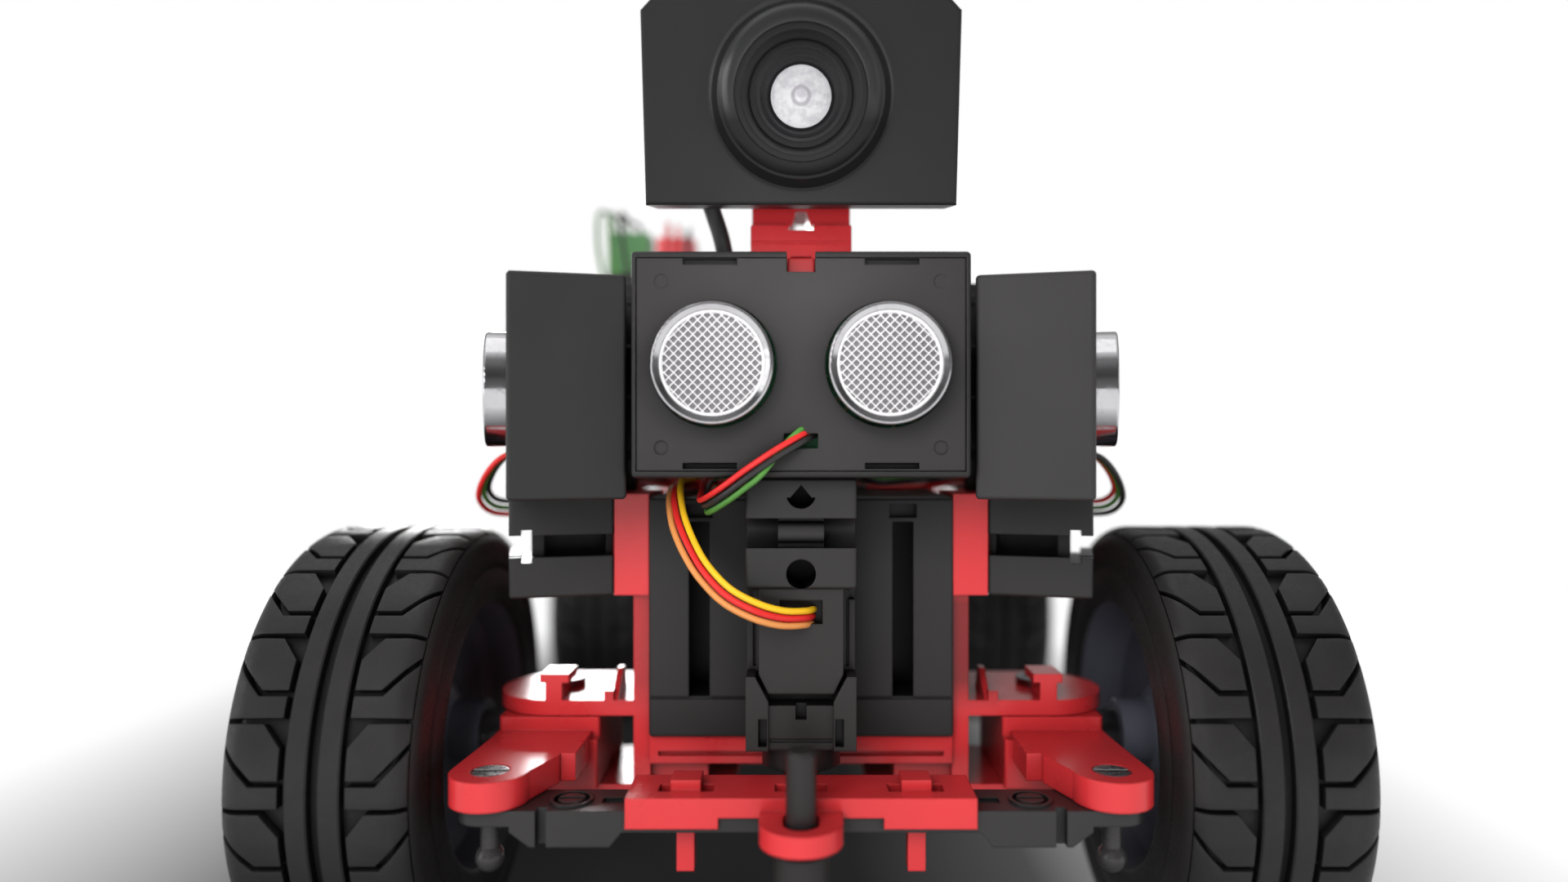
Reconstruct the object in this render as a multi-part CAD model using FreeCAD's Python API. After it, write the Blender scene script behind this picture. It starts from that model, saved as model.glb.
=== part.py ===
import FreeCAD, Part
import math
import os

# Four-wheeled robot car with servo steering, built from blocks on a 15 mm grid.
# Row frame: origin on the floor under the middle of the car, +X to the right when
# looking at the nose, -Y towards the nose, +Z up. Lengths are in millimetres.
# Every piece is drawn with y = 0 on the front axle, and export() moves it to the row frame.

V = FreeCAD.Vector
os.makedirs("parts", exist_ok=True)

# ---- driving dimensions -------------------------------------------------------
GRID = 15.0              # module of the construction blocks
HALF_GRID = GRID / 2
SIDES = (-1, 1)          # left, right
WHEELBASE = 128.0
FRONT = -WHEELBASE / 2   # y of the front axle in the row frame
TYRE_R = 32.5
AXLE_Z = TYRE_R
TYRE_W = 25.6
TRACK_HALF = 62.3        # middle of a front tyre from the centre plane
REAR_HALF = 52.3         # middle of a rear tyre from the centre plane
NARROW = TRACK_HALF - REAR_HALF
RIM_R = 22.0
RIM_W = 24.0
AXLE_R = 2.0
COLLAR_R = 3.4           # collars on the stub axles and drive shafts
RUN = 0.05               # radial running clearance
HOLE_R = 2.05            # mounting holes for 4 mm pins or M4 screws
GROOVE_HALF = 1.55       # half width of the groove mouths in the blocks
BLOCK_FILLET = 0.5
KING_X = 2.5 * GRID      # king pin axis
TIE_X, TIE_Y = 40.7, -28.5       # tie-rod pins in the steering arms
TIE_PIN_R = 1.25
SERVO_Y = -18.5          # servo output axis
HORN_Y = -36.8           # driving pin of the servo horn
COLUMN_HALF = 1.5 * GRID
COLUMN_FRONT = -12.1
COLUMN_BACK = COLUMN_FRONT + 2 * GRID
COLUMN_TOP = 70.4        # also the top of the chassis beam and bumper
BEAM_Z = COLUMN_TOP - GRID       # underside of the beam, top of deck and battery case
BEAM_BACK = 152.0
BUMPER_BACK = 169.5
CENTRE_Z = 58.8          # underside of the centre block, top of the servo
SENSOR_Z = CENTRE_Z + GRID       # base of the front sensor
SIDE_BLOCK_Z = 55.9
SIDE_Z = SIDE_BLOCK_Z + GRID     # base of the side sensors


# ---- helpers --------------------------------------------------------------------
def box(x0, x1, y0, y1, z0, z1, fillet=0.0):
    shape = Part.makeBox(x1 - x0, y1 - y0, z1 - z0, V(x0, y0, z0))
    return shape.makeFillet(fillet, shape.Edges) if fillet else shape


def mid_box(x, half, y0, y1, z0, z1, fillet=0.0):
    """Box reaching half to each side of x."""
    return box(x - half, x + half, y0, y1, z0, z1, fillet)


def post_box(x0, x1, y0, y1, z0, z1, fillet):
    """Box with only its upright edges rounded."""
    shape = box(x0, x1, y0, y1, z0, z1)
    edges = [e for e in shape.Edges if abs(e.tangentAt(e.FirstParameter).z) > 0.9]
    return shape.makeFillet(fillet, edges)


def cyl_x(r, x, y, z, length):
    return Part.makeCylinder(r, length, V(x, y, z), V(1, 0, 0))


def cyl_y(r, x, y, z, length):
    return Part.makeCylinder(r, length, V(x, y, z), V(0, 1, 0))


def cyl_z(r, x, y, z, length):
    return Part.makeCylinder(r, length, V(x, y, z), V(0, 0, 1))


def cone_y(r0, r1, length, y, way=1):
    return Part.makeCone(r0, r1, length, V(0, y, 0), V(0, way, 0))


def fuse(*shapes):
    return shapes[0].fuse(list(shapes[1:])).removeSplitter()


def cut(shape, *tools):
    return shape.cut(list(tools))


def poly(points):
    return Part.Face(Part.makePolygon(points + [points[0]]))


def prism_x(points, x0, x1):
    return poly([V(x0, y, z) for y, z in points]).extrude(V(x1 - x0, 0, 0))


def prism_y(points, y0, y1):
    return poly([V(x, y0, z) for x, z in points]).extrude(V(0, y1 - y0, 0))


def prism_z(points, z0, z1):
    return poly([V(x, y, z0) for x, y in points]).extrude(V(0, 0, z1 - z0))


def hexagon(u, v, r):
    angles = [math.radians(60 * i) for i in range(6)]
    return [(u + r * math.cos(a), v + r * math.sin(a)) for a in angles]


def mirror(shape):
    return shape.mirror(V(0, 0, 0), V(1, 0, 0))


def moved(shape, x, y, z):
    copy = shape.copy()
    copy.translate(V(x, y, z))
    return copy


def turned_x(shape, y, z, angle):
    copy = shape.copy()
    copy.rotate(V(0, y, z), V(1, 0, 0), angle)
    return copy


def cable(points, r, sides=6):
    """Faceted cable through the (x, y, z) points."""
    points = [V(*p) for p in points]
    rings = []
    across = None
    for i, p in enumerate(points):
        along = points[min(i + 1, len(points) - 1)] - points[max(i - 1, 0)]
        along.normalize()
        if across is None:
            across = along.cross(V(0, 0, 1) if abs(along.z) < 0.9 else V(1, 0, 0))
        across = across - along * across.dot(along)
        across.normalize()
        up = along.cross(across)
        angles = [2 * math.pi * k / sides for k in range(sides)]
        rings.append([p + across * (r * math.cos(a)) + up * (r * math.sin(a)) for a in angles])
    faces = [poly(rings[0]), poly(rings[-1])]
    for a, b in zip(rings, rings[1:]):
        for k in range(sides):
            m = (k + 1) % sides
            faces.append(poly([a[k], a[m], b[m]]))
            faces.append(poly([a[k], b[m], b[k]]))
    solid = Part.Solid(Part.Shell(faces))
    if solid.Volume < 0:
        solid.reverse()
    return solid


def export(name, *shapes):
    """Write one-solid shapes to a STEP file, in the row frame."""
    found = []
    for shape in shapes:
        for solid in shape.Solids:
            solid = moved(solid, 0, FRONT, 0)
            if solid.Volume < 0:
                solid.reverse()
            assert solid.isValid(), name + ": invalid solid"
            found.append(solid)
    assert len(found) == len(shapes), name + ": wrong number of solids"
    shape = found[0] if len(found) == 1 else Part.makeCompound(found)
    shape.exportStep("parts/" + name + ".step")


def export_sides(name, right):
    """Write a right-hand piece and its mirror image."""
    export("right_" + name, right)
    export("left_" + name, mirror(right))


# ---- steering frame ----------------------------------------------------------
FRAME_FRONT, FRAME_BACK = -10.3, 8.7
FRAME_Z, FRAME_TOP = 25.0, 40.0


def wing_plate(z0, z1):
    """Plate with a round end about each king pin."""
    r = (FRAME_BACK - FRAME_FRONT) / 2
    ends = [cyl_z(r, side * KING_X, FRAME_FRONT + r, z0, z1 - z0) for side in (1, -1)]
    return fuse(box(-KING_X, KING_X, FRAME_FRONT, FRAME_BACK, z0, z1), *ends)


upper = cut(wing_plate(37.7, FRAME_TOP), box(-COLUMN_HALF, COLUMN_HALF, -20, 20, 37, 41))
lower = wing_plate(FRAME_Z, 27.5)
posts = [mid_box(side * (COLUMN_HALF + 1.25), 1.25, FRAME_FRONT, FRAME_BACK,
                 FRAME_Z, SIDE_BLOCK_Z) for side in (1, -1)]
cross = cut(
    box(-COLUMN_HALF, COLUMN_HALF, -11.0, 9.0, 30.8, 35.0),
    box(-21.2, 21.2, -11.5, -10.2, 31.9, 32.6),
    box(-12.0, 12.0, -6.0, 6.0, 30.0, 36.0),
)
ribs = [mid_box(side * 18.25, 4.25, -8.5, 8.5, 27.0, 31.0) for side in SIDES]
# small raised details on top of each wing
tab = fuse(
    box(35.7, 38.2, FRAME_FRONT, -4.4, FRAME_TOP, 43.0),
    box(34.7, 39.0, FRAME_FRONT, -4.4, 42.6, 43.9),
    box(28.0, 29.4, FRAME_FRONT, -8.6, FRAME_TOP, 41.4),
    prism_x([(-10.0, FRAME_TOP), (-2.0, FRAME_TOP), (-3.6, 43.8), (-5.6, 43.8)], 27.4, 28.3),
)
base = cut(
    fuse(upper, lower, *posts, cross, *ribs, tab, mirror(tab)),
    cyl_z(AXLE_R, KING_X, 0, 20, 25),
    cyl_z(AXLE_R, -KING_X, 0, 20, 25),
    box(-10, 10, -7, 7, 24, 28),
)
export("base_frame", base)

# King pin with a slotted head
pin = fuse(
    cyl_z(AXLE_R, KING_X, 0, FRAME_Z, FRAME_TOP - FRAME_Z),
    cyl_z(3.2, KING_X, 0, FRAME_TOP, 1.2),
    cyl_z(3.0, KING_X, 0, FRAME_Z - 1.0, 1.0),
)
pin = cut(pin, mid_box(KING_X, 2.2, -0.4, 0.4, 40.7, 42))
export("king_pins", pin, mirror(pin))

# ---- column, centre block, side blocks and wedges --------------------------------
# Upright grooves, front then back: mouth y0, y1, inner channel y0, y1, channel half width
COLUMN_GROOVES = [(-13.0, -10.6, -10.8, -2.0, 4.4), (16.4, 19.0, 14.8, 16.6, 2.6)]
column = box(-COLUMN_HALF, COLUMN_HALF, COLUMN_FRONT, COLUMN_BACK, 35.0, COLUMN_TOP,
             BLOCK_FILLET)
cuts = [
    box(-23, 23, -12.6, -11.85, 40.6, 41.0),
    box(-23, 23, 17.65, 18.4, 40.6, 41.0),
    box(-GROOVE_HALF, GROOVE_HALF, 16.4, 19.0, 38.0, 54.0),
]
for side in SIDES:
    x = side * GRID
    for mouth0, mouth1, channel0, channel1, half in COLUMN_GROOVES:
        cuts.append(mid_box(x, GROOVE_HALF, mouth0, mouth1, 41.0, 66.8))
        cuts.append(mid_box(x, half, channel0, channel1, 41.0, 66.8))
    cuts.append(mid_box(x, 2.0, -12.6, -10.4, 67.4, 69.4))
    cuts.append(mid_box(side * 22.0, 1.0, 11.0, 14.1, 41.0, 68.0))
    cuts.append(cyl_z(HOLE_R, x, 8, 60, 12))
export("column_block", cut(column, *cuts))

# Centre block, with a cross groove, a lower hole and a marked upper recess in front
GROOVE_Z = 66.3
half_disc = cut(cyl_y(2.0, 0, -26, 71.6, 9.5), box(-3, 3, -27, -15, 71.1, 75))
arrow = prism_y([(-1.5, 71.0), (1.5, 71.0), (0, 72.8)], -26, -16.5)
block = cut(
    box(-HALF_GRID, HALF_GRID, -25.2, COLUMN_FRONT, CENTRE_Z, SENSOR_Z, BLOCK_FILLET),
    box(-8, 8, -26, -23.2, 64.3, 68.3),
    cyl_x(2.4, -8, -23.2, GROOVE_Z, 4.9),
    cyl_x(2.4, 3.1, -23.2, GROOVE_Z, 4.9),
    cyl_y(2.0, 0, -26, 60.8, 9.5),
    half_disc,
    arrow,
)
export("centre_block", fuse(block, cyl_x(1.45, -3.1, -23.3, GROOVE_Z, 6.2)))

# Side sensor frame: the face runs from x = -45 (rear end) to x = 0 (front end),
# y = 0 is the face and the box lies at y > 0.
SIDE_ANGLE = 15.0                # turn of the side sensors
CORNER = V(-38.2, -30.1, 0)      # front outer corner of the left side sensor
LEFT_TURN = FreeCAD.Rotation(V(0, 0, 1), SIDE_ANGLE - 90)


def to_left(shape):
    """Side sensor frame to the left flank."""
    copy = shape.copy()
    copy.rotate(V(0, 0, 0), V(0, 0, 1), SIDE_ANGLE - 90)
    return moved(copy, *CORNER)


def left_point(x, y, z=0):
    """Point of the side sensor frame on the left flank."""
    return CORNER + LEFT_TURN.multVec(V(x, y, z))


left = to_left(cut(
    box(-2 * GRID, -GRID, 0, GRID, SIDE_BLOCK_Z, SIDE_Z, BLOCK_FILLET),
    box(-31, -14, -1, 1.9, 61.8, 65.0),
    box(-31, -14, 1.7, 3.2, 61.0, 65.8),
    box(-16.9, -14.0, -1, 16, 61.8, 65.0),
    box(-18.2, -16.7, -1, 16, 61.0, 65.8),
    box(-23.5, -18.0, 5.0, 14.0, 61.0, 65.8),
    cyl_z(2.0, 0, 0, 0, 5) if False else cyl_y(2.0, -22.5, -1, 58.9, 5),
))
export("side_blocks", left, mirror(left))

# Wedge between the column and the inner face of the side block
near, far = left_point(-GRID, GRID), left_point(-2 * GRID, GRID)
wedge = prism_z([(-COLUMN_HALF, near.y), (near.x, near.y), (far.x, far.y),
                 (-COLUMN_HALF, far.y)], SIDE_BLOCK_Z, SIDE_Z)
export("angle_blocks", wedge, mirror(wedge))

# ---- steering servo ------------------------------------------------------------
SERVO_HALF = 7.45
SERVO_FRONT = -21.2      # front of the full-width part
# (x, z) outline of the narrower nose
SERVO_NOSE = [(-5.7, CENTRE_Z), (-5.7, 47.2), (-4.4, 44.6),
              (4.4, 44.6), (5.7, 47.2), (5.7, CENTRE_Z)]
servo = fuse(
    prism_y(SERVO_NOSE, -24.6, SERVO_FRONT),
    box(-SERVO_HALF, SERVO_HALF, SERVO_FRONT, COLUMN_FRONT, 47.0, CENTRE_Z),
    box(-4.4, 4.4, -22.0, -13.0, 44.6, 48.0),
)
cuts = [box(-2.9, 2.9, -26, -22.4, 54.0, 57.2)]
for side in SIDES:
    cuts.append(mid_box(side * 6.4, 0.2, -22, -20.6, 47.6, 58.2))
    cuts.append(mid_box(side * 7.1, 0.5, -22, -19.6, 56.8, 58.0))
export("servo_body", cut(servo, *cuts))

# Collar below the servo body, with an ear at each front corner
COLLAR_Z = 37.0
ear = prism_y([(-SERVO_HALF, COLLAR_Z), (-4.4, COLLAR_Z), (-4.4, 43.6), (-6.2, 47.0),
               (-SERVO_HALF, 47.0)], -25.2, SERVO_FRONT)
collar = fuse(
    ear,
    mirror(ear),
    box(-5.8, 5.8, -24.6, -13.0, COLLAR_Z, 43.0),
    box(-SERVO_HALF, SERVO_HALF, SERVO_FRONT, COLUMN_FRONT, COLLAR_Z, 44.6),
)
collar = cut(
    collar,
    box(-0.75, 0.75, -26, -23.0, 41.1, 44),
    box(-5.75, -4.6, -26, -23.4, 37.6, 41.3),
    box(4.6, 5.75, -26, -23.4, 37.6, 41.3),
    box(-4.2, 4.2, -25.0, -24.3, 38.0, 38.5),
)
export("servo_collar", fuse(collar, cyl_z(5.5, 0, SERVO_Y, 33.7, 4.0)))

# Horn from the output axis to its upright driving pin
HORN_Z, HORN_T = 24.5, 4.0
HORN_TOP = HORN_Z + HORN_T
HUB_R, TIP_R, DRIVE_R = 4.0, 3.5, 1.9
export("servo_horn", fuse(
    cyl_z(HUB_R, 0, SERVO_Y, HORN_Z, HORN_T),
    cyl_z(TIP_R, 0, HORN_Y, HORN_Z, HORN_T),
    prism_z([(-HUB_R, SERVO_Y), (HUB_R, SERVO_Y), (TIP_R, HORN_Y), (-TIP_R, HORN_Y)],
            HORN_Z, HORN_TOP),
    cyl_z(2.5, 0, SERVO_Y, HORN_TOP, 5.15),
    cyl_z(DRIVE_R, 0, HORN_Y, HORN_TOP, 11.8),
    Part.makeCone(DRIVE_R, 1.5, 0.5, V(0, HORN_Y, HORN_TOP + 11.8), V(0, 0, 1)),
    cyl_z(1.6, 0, SERVO_Y, 23.6, 1.0),
))

# ---- tie rod and bridge -----------------------------------------------------------
ROD_HALF = 4.0           # half width of the rod
ROD_FRONT, ROD_BACK = TIE_Y - ROD_HALF, TIE_Y + ROD_HALF
ROD_Z, ROD_TOP = 29.7, 31.7
KEEL_HALF, KEEL_Z = 37.1, 29.0   # thicker middle part
BOSS_X = 2 * GRID
rod = [
    box(-TIE_X, TIE_X, ROD_FRONT, ROD_BACK, ROD_Z, ROD_TOP),
    cyl_z(ROD_HALF, TIE_X, TIE_Y, ROD_Z, 2.0),
    cyl_z(ROD_HALF, -TIE_X, TIE_Y, ROD_Z, 2.0),
    box(-KEEL_HALF, KEEL_HALF, ROD_FRONT, ROD_BACK, KEEL_Z, ROD_Z),
]
extra, holes = [], []
for side in SIDES:
    foot = [(22.8, KEEL_Z), (KEEL_HALF, KEEL_Z), (34.5, 27.1), (24.4, 27.1)]
    extra.append(prism_y([(side * x, z) for x, z in foot], ROD_FRONT, ROD_BACK))
    x = side * BOSS_X
    extra.append(cyl_z(2.85, x, TIE_Y, ROD_TOP, 0.3))
    # ring groove and slot in the boss, then a notch, a slot and a square hole inboard
    holes.append(cut(cyl_z(2.35, x, TIE_Y, 31.2, 2), cyl_z(1.8, x, TIE_Y, 31.0, 3)))
    holes.append(mid_box(x, 1.9, TIE_Y - 0.3, TIE_Y + 0.3, 31.5, 33))
    holes.append(mid_box(side * 33.1, 0.7, -33, -31.2, 26, 33))
    holes.append(mid_box(side * 24.0, 1.9, TIE_Y - 0.9, TIE_Y + 0.9, 31.2, 33))
    holes.append(mid_box(side * GRID, 2.0, TIE_Y - 1.7, TIE_Y + 1.7, 28, 33))
# The right-hand pin hole is opened up: it is where the steering linkage is left open.
holes.append(cyl_z(TIE_PIN_R + RUN, -TIE_X, TIE_Y, 26, 8))
holes.append(cyl_z(TIE_PIN_R + 0.45, TIE_X, TIE_Y, 26, 8))
export("tie_rod", cut(fuse(fuse(*rod), *extra), *holes))

# Bridge clipped over the rod, with an eye in front for the horn pin
BRIDGE_HALF = 22.3
BRIDGE_FRONT, BRIDGE_BACK = ROD_FRONT - 0.5, ROD_BACK + 0.5
EYE_Y, EYE_R, EYE_Z = -36.3, 5.2, 29.3
EYE_SLOT_R = 2.25
EYE_SLOT = (-37.1, -35.3)        # y of the slot's end centres
SKIRT_TOP = 31.8
bridge = fuse(
    box(-BRIDGE_HALF, BRIDGE_HALF, BRIDGE_FRONT, BRIDGE_BACK, ROD_TOP, 33.5),
    box(-BRIDGE_HALF, -10.5, BRIDGE_FRONT, ROD_FRONT, 29.6, SKIRT_TOP),
    box(10.5, BRIDGE_HALF, BRIDGE_FRONT, ROD_FRONT, 29.6, SKIRT_TOP),
    box(-10.5, 10.5, BRIDGE_FRONT, ROD_FRONT, 31.0, SKIRT_TOP),
    box(-BRIDGE_HALF, BRIDGE_HALF, ROD_BACK, BRIDGE_BACK, 29.6, SKIRT_TOP),
    box(-EYE_R, EYE_R, EYE_Y, ROD_FRONT, EYE_Z, 31.9),
    cyl_z(EYE_R, 0, EYE_Y, EYE_Z, 2.6),
    *[mid_box(side * GRID, 1.15, TIE_Y - 1.2, TIE_Y + 1.2, 22.9, SKIRT_TOP)
      for side in (1, -1)],
    *[mid_box(side * 14.95, 1.95, -30.0, -26.2, 33.4, 34.8) for side in (1, -1)],
)
cuts = [cyl_z(EYE_SLOT_R, 0, y, 28, 8) for y in EYE_SLOT]
cuts.append(box(-EYE_SLOT_R, EYE_SLOT_R, *EYE_SLOT, 28, 36))
# notches in the top: x middle, half width
for x, half in [(17.7, 0.8), (-17.7, 0.8), (12.15, 0.85), (-12.15, 0.85), (0, 3.4)]:
    cuts.append(mid_box(x, half, -30.4, -27.6, 32.2, 34))
bridge = cut(bridge, *cuts)
# Clear the rod's width under the bridge, across the middle.
bridge = cut(bridge, box(-5.3, 5.3, ROD_FRONT, ROD_BACK, 28.9, ROD_TOP))
export("steering_bridge", bridge)

# ---- steering knuckles, pins, stub axles and nuts -----------------------------------
KNUCKLE_IN, KNUCKLE_OUT = KING_X - HALF_GRID, KING_X + HALF_GRID
STUB_X = 41.0            # inner end of the stub axle
ARM_Z, ARM_TOP = 31.8, 35.6
HEAD_Z = 34.7            # seat of the tie pin's head
# (x, y) outline of the steering arm
ARM = [(31.1, -9.0), (31.1, -21.5), (33.2, -21.5), (33.2, -22.4), (36.6, -31.7),
       (TIE_X, TIE_Y), (45.87, -27.6), (KNUCKLE_OUT, -14.0), (KNUCKLE_OUT, -9.0)]
body = fuse(
    post_box(KNUCKLE_IN, KNUCKLE_OUT, -12.5, 8.5, 27.6, 34.7, 0.6),
    post_box(KNUCKLE_IN, KNUCKLE_OUT, -10.6, 8.5, 34.0, 37.6, 0.6),
)
arm = fuse(
    prism_z(ARM, ARM_Z, ARM_TOP),
    cyl_z(5.2, TIE_X, TIE_Y, ARM_Z, ARM_TOP - ARM_Z),
)
export_sides("knuckle", cut(
    fuse(body, arm),
    cyl_z(AXLE_R + RUN, KING_X, 0, 20, 25),
    cyl_z(TIE_PIN_R, TIE_X, TIE_Y, 30, 8),
    cyl_x(AXLE_R, STUB_X, 0, AXLE_Z, 6),
    cyl_z(2.5, TIE_X, TIE_Y, HEAD_Z, 2),
    box(33.0, 42.0, -13, -11.7, 29.0, 30.4),
))

tie_pin = fuse(
    cyl_z(2.4, TIE_X, TIE_Y, HEAD_Z, 0.85),
    cyl_z(TIE_PIN_R, TIE_X, TIE_Y, 25.0, 10.0),
    Part.makeSphere(1.9, V(TIE_X, TIE_Y, 24.3)),
)
slot = mid_box(TIE_X, 2.6, TIE_Y - 0.45, TIE_Y + 0.45, 34.95, 37)
export_sides("tie_pin", cut(tie_pin, slot))

export_sides("stub_axle", fuse(
    cyl_x(AXLE_R, STUB_X, 0, AXLE_Z, 33),
    cyl_x(COLLAR_R, KNUCKLE_OUT, 0, AXLE_Z, 4.95),
))

NUT_X = 71.05            # inner face of the hub nut
nut_blank = fuse(
    prism_x(hexagon(0, AXLE_Z, 4.2), NUT_X, 73.9),
    cyl_x(4.6, NUT_X, 0, AXLE_Z, 0.8),
)
export_sides("hub_nut", cut(nut_blank, cyl_x(AXLE_R, 70, 0, AXLE_Z, 5)))

# ---- wheels and drive shafts ----------------------------------------------------------
SHOULDER_R = 3.4         # rounding of the tyre's outer edges


def revolve_wheel(profile, side, y, half):
    """Outline of (x outwards from the wheel's middle, radius) turned about its axle."""
    face = poly([V(side * half + side * x, y, AXLE_Z + r) for x, r in profile])
    return face.revolve(V(side * half, y, AXLE_Z), V(1, 0, 0), 360)


def tyre(side, y, half):
    w = TYRE_W / 2
    centre_x, centre_r = w - SHOULDER_R, TYRE_R - SHOULDER_R
    profile = [(-w, RIM_R), (-w, centre_r)]
    for x, degrees in ((-centre_x, range(165, 89, -15)), (centre_x, range(90, 14, -15))):
        for angle in map(math.radians, degrees):
            profile.append((x + SHOULDER_R * math.cos(angle),
                            centre_r + SHOULDER_R * math.sin(angle)))
    profile += [(w, centre_r), (w, RIM_R)]
    return revolve_wheel(profile, side, y, half)


def rim(side, y, half, bore):
    """Dished rim with six radial ribs."""
    w = RIM_W / 2
    profile = [
        (-w, RIM_R), (-w, 20.4), (-w + 1.2, 20.0), (-7.0, 19.2), (-5.6, 17.6), (-5.6, 8.5),
        (-7.4, 5.0), (-12.3, 5.0), (-12.3, bore), (8.7, bore), (8.7, 5.0), (-1.4, 6.5),
        (-2.6, 8.5), (-2.6, 17.6), (-1.0, 19.6), (w - 1.2, 20.2), (w, 20.6), (w, RIM_R),
    ]
    rib = mid_box(side * (half + 1.75), 4.75, y + 4.6, y + 20.0, AXLE_Z - 1.3, AXLE_Z + 1.3)
    ribs = [turned_x(rib, y, AXLE_Z, 60 * i + 30) for i in range(6)]
    return fuse(revolve_wheel(profile, side, y, half), *ribs)


for end, y, half, bore in (("front", 0.0, TRACK_HALF, AXLE_R + RUN),
                           ("rear", WHEELBASE, REAR_HALF, AXLE_R)):
    for side, hand in zip(SIDES, ("left", "right")):
        export("%s_%s_tyre" % (end, hand), tyre(side, y, half))
        export("%s_%s_rim" % (end, hand), rim(side, y, half, bore))

# Rear shaft with collar and hub nut in one, drawn on the front track
shaft = fuse(
    cyl_x(AXLE_R, 31.5, WHEELBASE, AXLE_Z, 39.5),
    cyl_x(COLLAR_R, 46.1, WHEELBASE, AXLE_Z, 3.9),
    moved(nut_blank, -0.05, WHEELBASE, 0),
)
export_sides("drive_shaft", moved(shaft, -NARROW, 0, 0))

# ---- distance sensors ----------------------------------------------------------------
# Sensor frame: x across the face, y = 0 the face and y > 0 into the box, z up from its base.
SENSOR_W, SENSOR_H, SENSOR_D = 45.0, 30.0, 15.5
SENSOR_HALF = SENSOR_W / 2
SENSOR_MID = SENSOR_H / 2
CAN_R, CAN_X = 8.0, 11.55        # transducer cans
NOTCH_Z = SENSOR_H - 2.75        # notch in the middle of the top edge


def to_front(shape):
    return moved(shape, 0, -27.5, SENSOR_Z)


def to_side(shape):
    return to_left(moved(shape, -SENSOR_HALF, 0, SIDE_Z))


def export_sensor_part(name, shape):
    left = to_side(shape)
    export("front_sensor_" + name, to_front(shape))
    export("left_sensor_" + name, left)
    export("right_sensor_" + name, mirror(left))


shell = cut(
    box(-SENSOR_HALF, SENSOR_HALF, 0, SENSOR_D, 0, SENSOR_H, 0.6),
    box(-SENSOR_HALF + 0.65, SENSOR_HALF - 0.65, -1, 1.5, 0.85, SENSOR_H - 0.85),
    box(-20.5, 20.5, 1, 14.0, 1.9, SENSOR_H - 1.9),
    box(-4.0, 4.0, 13, 17, 3.0, 7.0),
)
bosses = [cyl_y(1.5, side * 18.0, 10.6, z, 3.6) for side in SIDES for z in (5.0, 25.0)]
export_sensor_part("shell", cut(
    fuse(shell, *bosses),
    box(-GROOVE_HALF, GROOVE_HALF, SENSOR_D - 1.0, SENSOR_D + 1, 9, 29),
    box(-1.9, 1.9, -1, SENSOR_D + 1, NOTCH_Z, SENSOR_H + 1),
))

cuts = [box(-1.9, 1.9, -1, 3, NOTCH_Z, SENSOR_H),
        box(-2.25, 2.25, -1, 3, SENSOR_MID - 11.1, SENSOR_MID - 9.1)]
for side in SIDES:
    cuts.append(cyl_y(CAN_R + 0.35, side * CAN_X, -1, SENSOR_MID, 4))
    for z in (1.2, SENSOR_H - 1.8):
        cuts.append(mid_box(side * 12.05, 3.6, -1, 3, z, z + 0.8))
    for z in (SENSOR_MID - 11.0, SENSOR_MID + 11.0):
        cuts.append(cyl_y(0.93, side * 18.5, -1, z, 1.3))
plate = box(-SENSOR_HALF + 0.75, SENSOR_HALF - 0.75, 0.15, 1.5, 0.95, SENSOR_H - 0.95)
export_sensor_part("faceplate", cut(plate, *cuts))

CAN_FRONT = -3.0
can = cut(
    cyl_y(CAN_R, 0, CAN_FRONT, SENSOR_MID, 12.0),
    moved(cone_y(7.6, 6.9, 0.35, CAN_FRONT - 0.01), 0, 0, SENSOR_MID),
    cyl_y(6.9, 0, -3.5, SENSOR_MID, 1.8),
)
# Round the outer front rim.
can = can.makeFillet(0.35, [
    e for e in can.Edges
    if abs(e.BoundBox.YMin - CAN_FRONT) < 1e-6 and abs(e.BoundBox.YMax - CAN_FRONT) < 1e-6
    and e.BoundBox.XLength > 15.9])
cans = []
for side in SIDES:
    placed = moved(can, side * CAN_X, 0, 0)
    cans += [to_front(placed), to_side(placed), mirror(to_side(placed))]
export("sensor_transducers", *cans)

board = cut(box(-20.0, 20.0, 9.0, 10.6, 2.6, 27.4), cyl_y(1.0, 0, 8, 24.5, 4))
left = to_side(board)
export("sensor_boards", to_front(board), left, mirror(left))

# ---- camera --------------------------------------------------------------------------
HINGE_Y, HINGE_Z = -6.0, 121.0   # camera tilt axis
HINGE_R = 1.75
FORK_IN, POST_BACK = 3.5, 3.5    # inner face of each fork arm, back of the post
sensor_top = SENSOR_Z + SENSOR_H
post = fuse(
    box(-HALF_GRID, HALF_GRID, -11.5, POST_BACK, COLUMN_TOP, 110.8, 0.4),
    box(-HALF_GRID, HALF_GRID, HINGE_Y, POST_BACK, 109.0, 114.8),
    box(FORK_IN, HALF_GRID, HINGE_Y, POST_BACK, 112.0, HINGE_Z),
    box(-HALF_GRID, -FORK_IN, HINGE_Y, POST_BACK, 112.0, HINGE_Z),
    cyl_x(5.0, FORK_IN, HINGE_Y, HINGE_Z, 4),
    cyl_x(5.0, -HALF_GRID, HINGE_Y, HINGE_Z, 4),
    # tongue reaching forward into the front sensor's notch
    box(-1.8, 1.8, -24.4, -11.0, sensor_top - 2.6, sensor_top - 0.4, 0.2),
)
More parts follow.
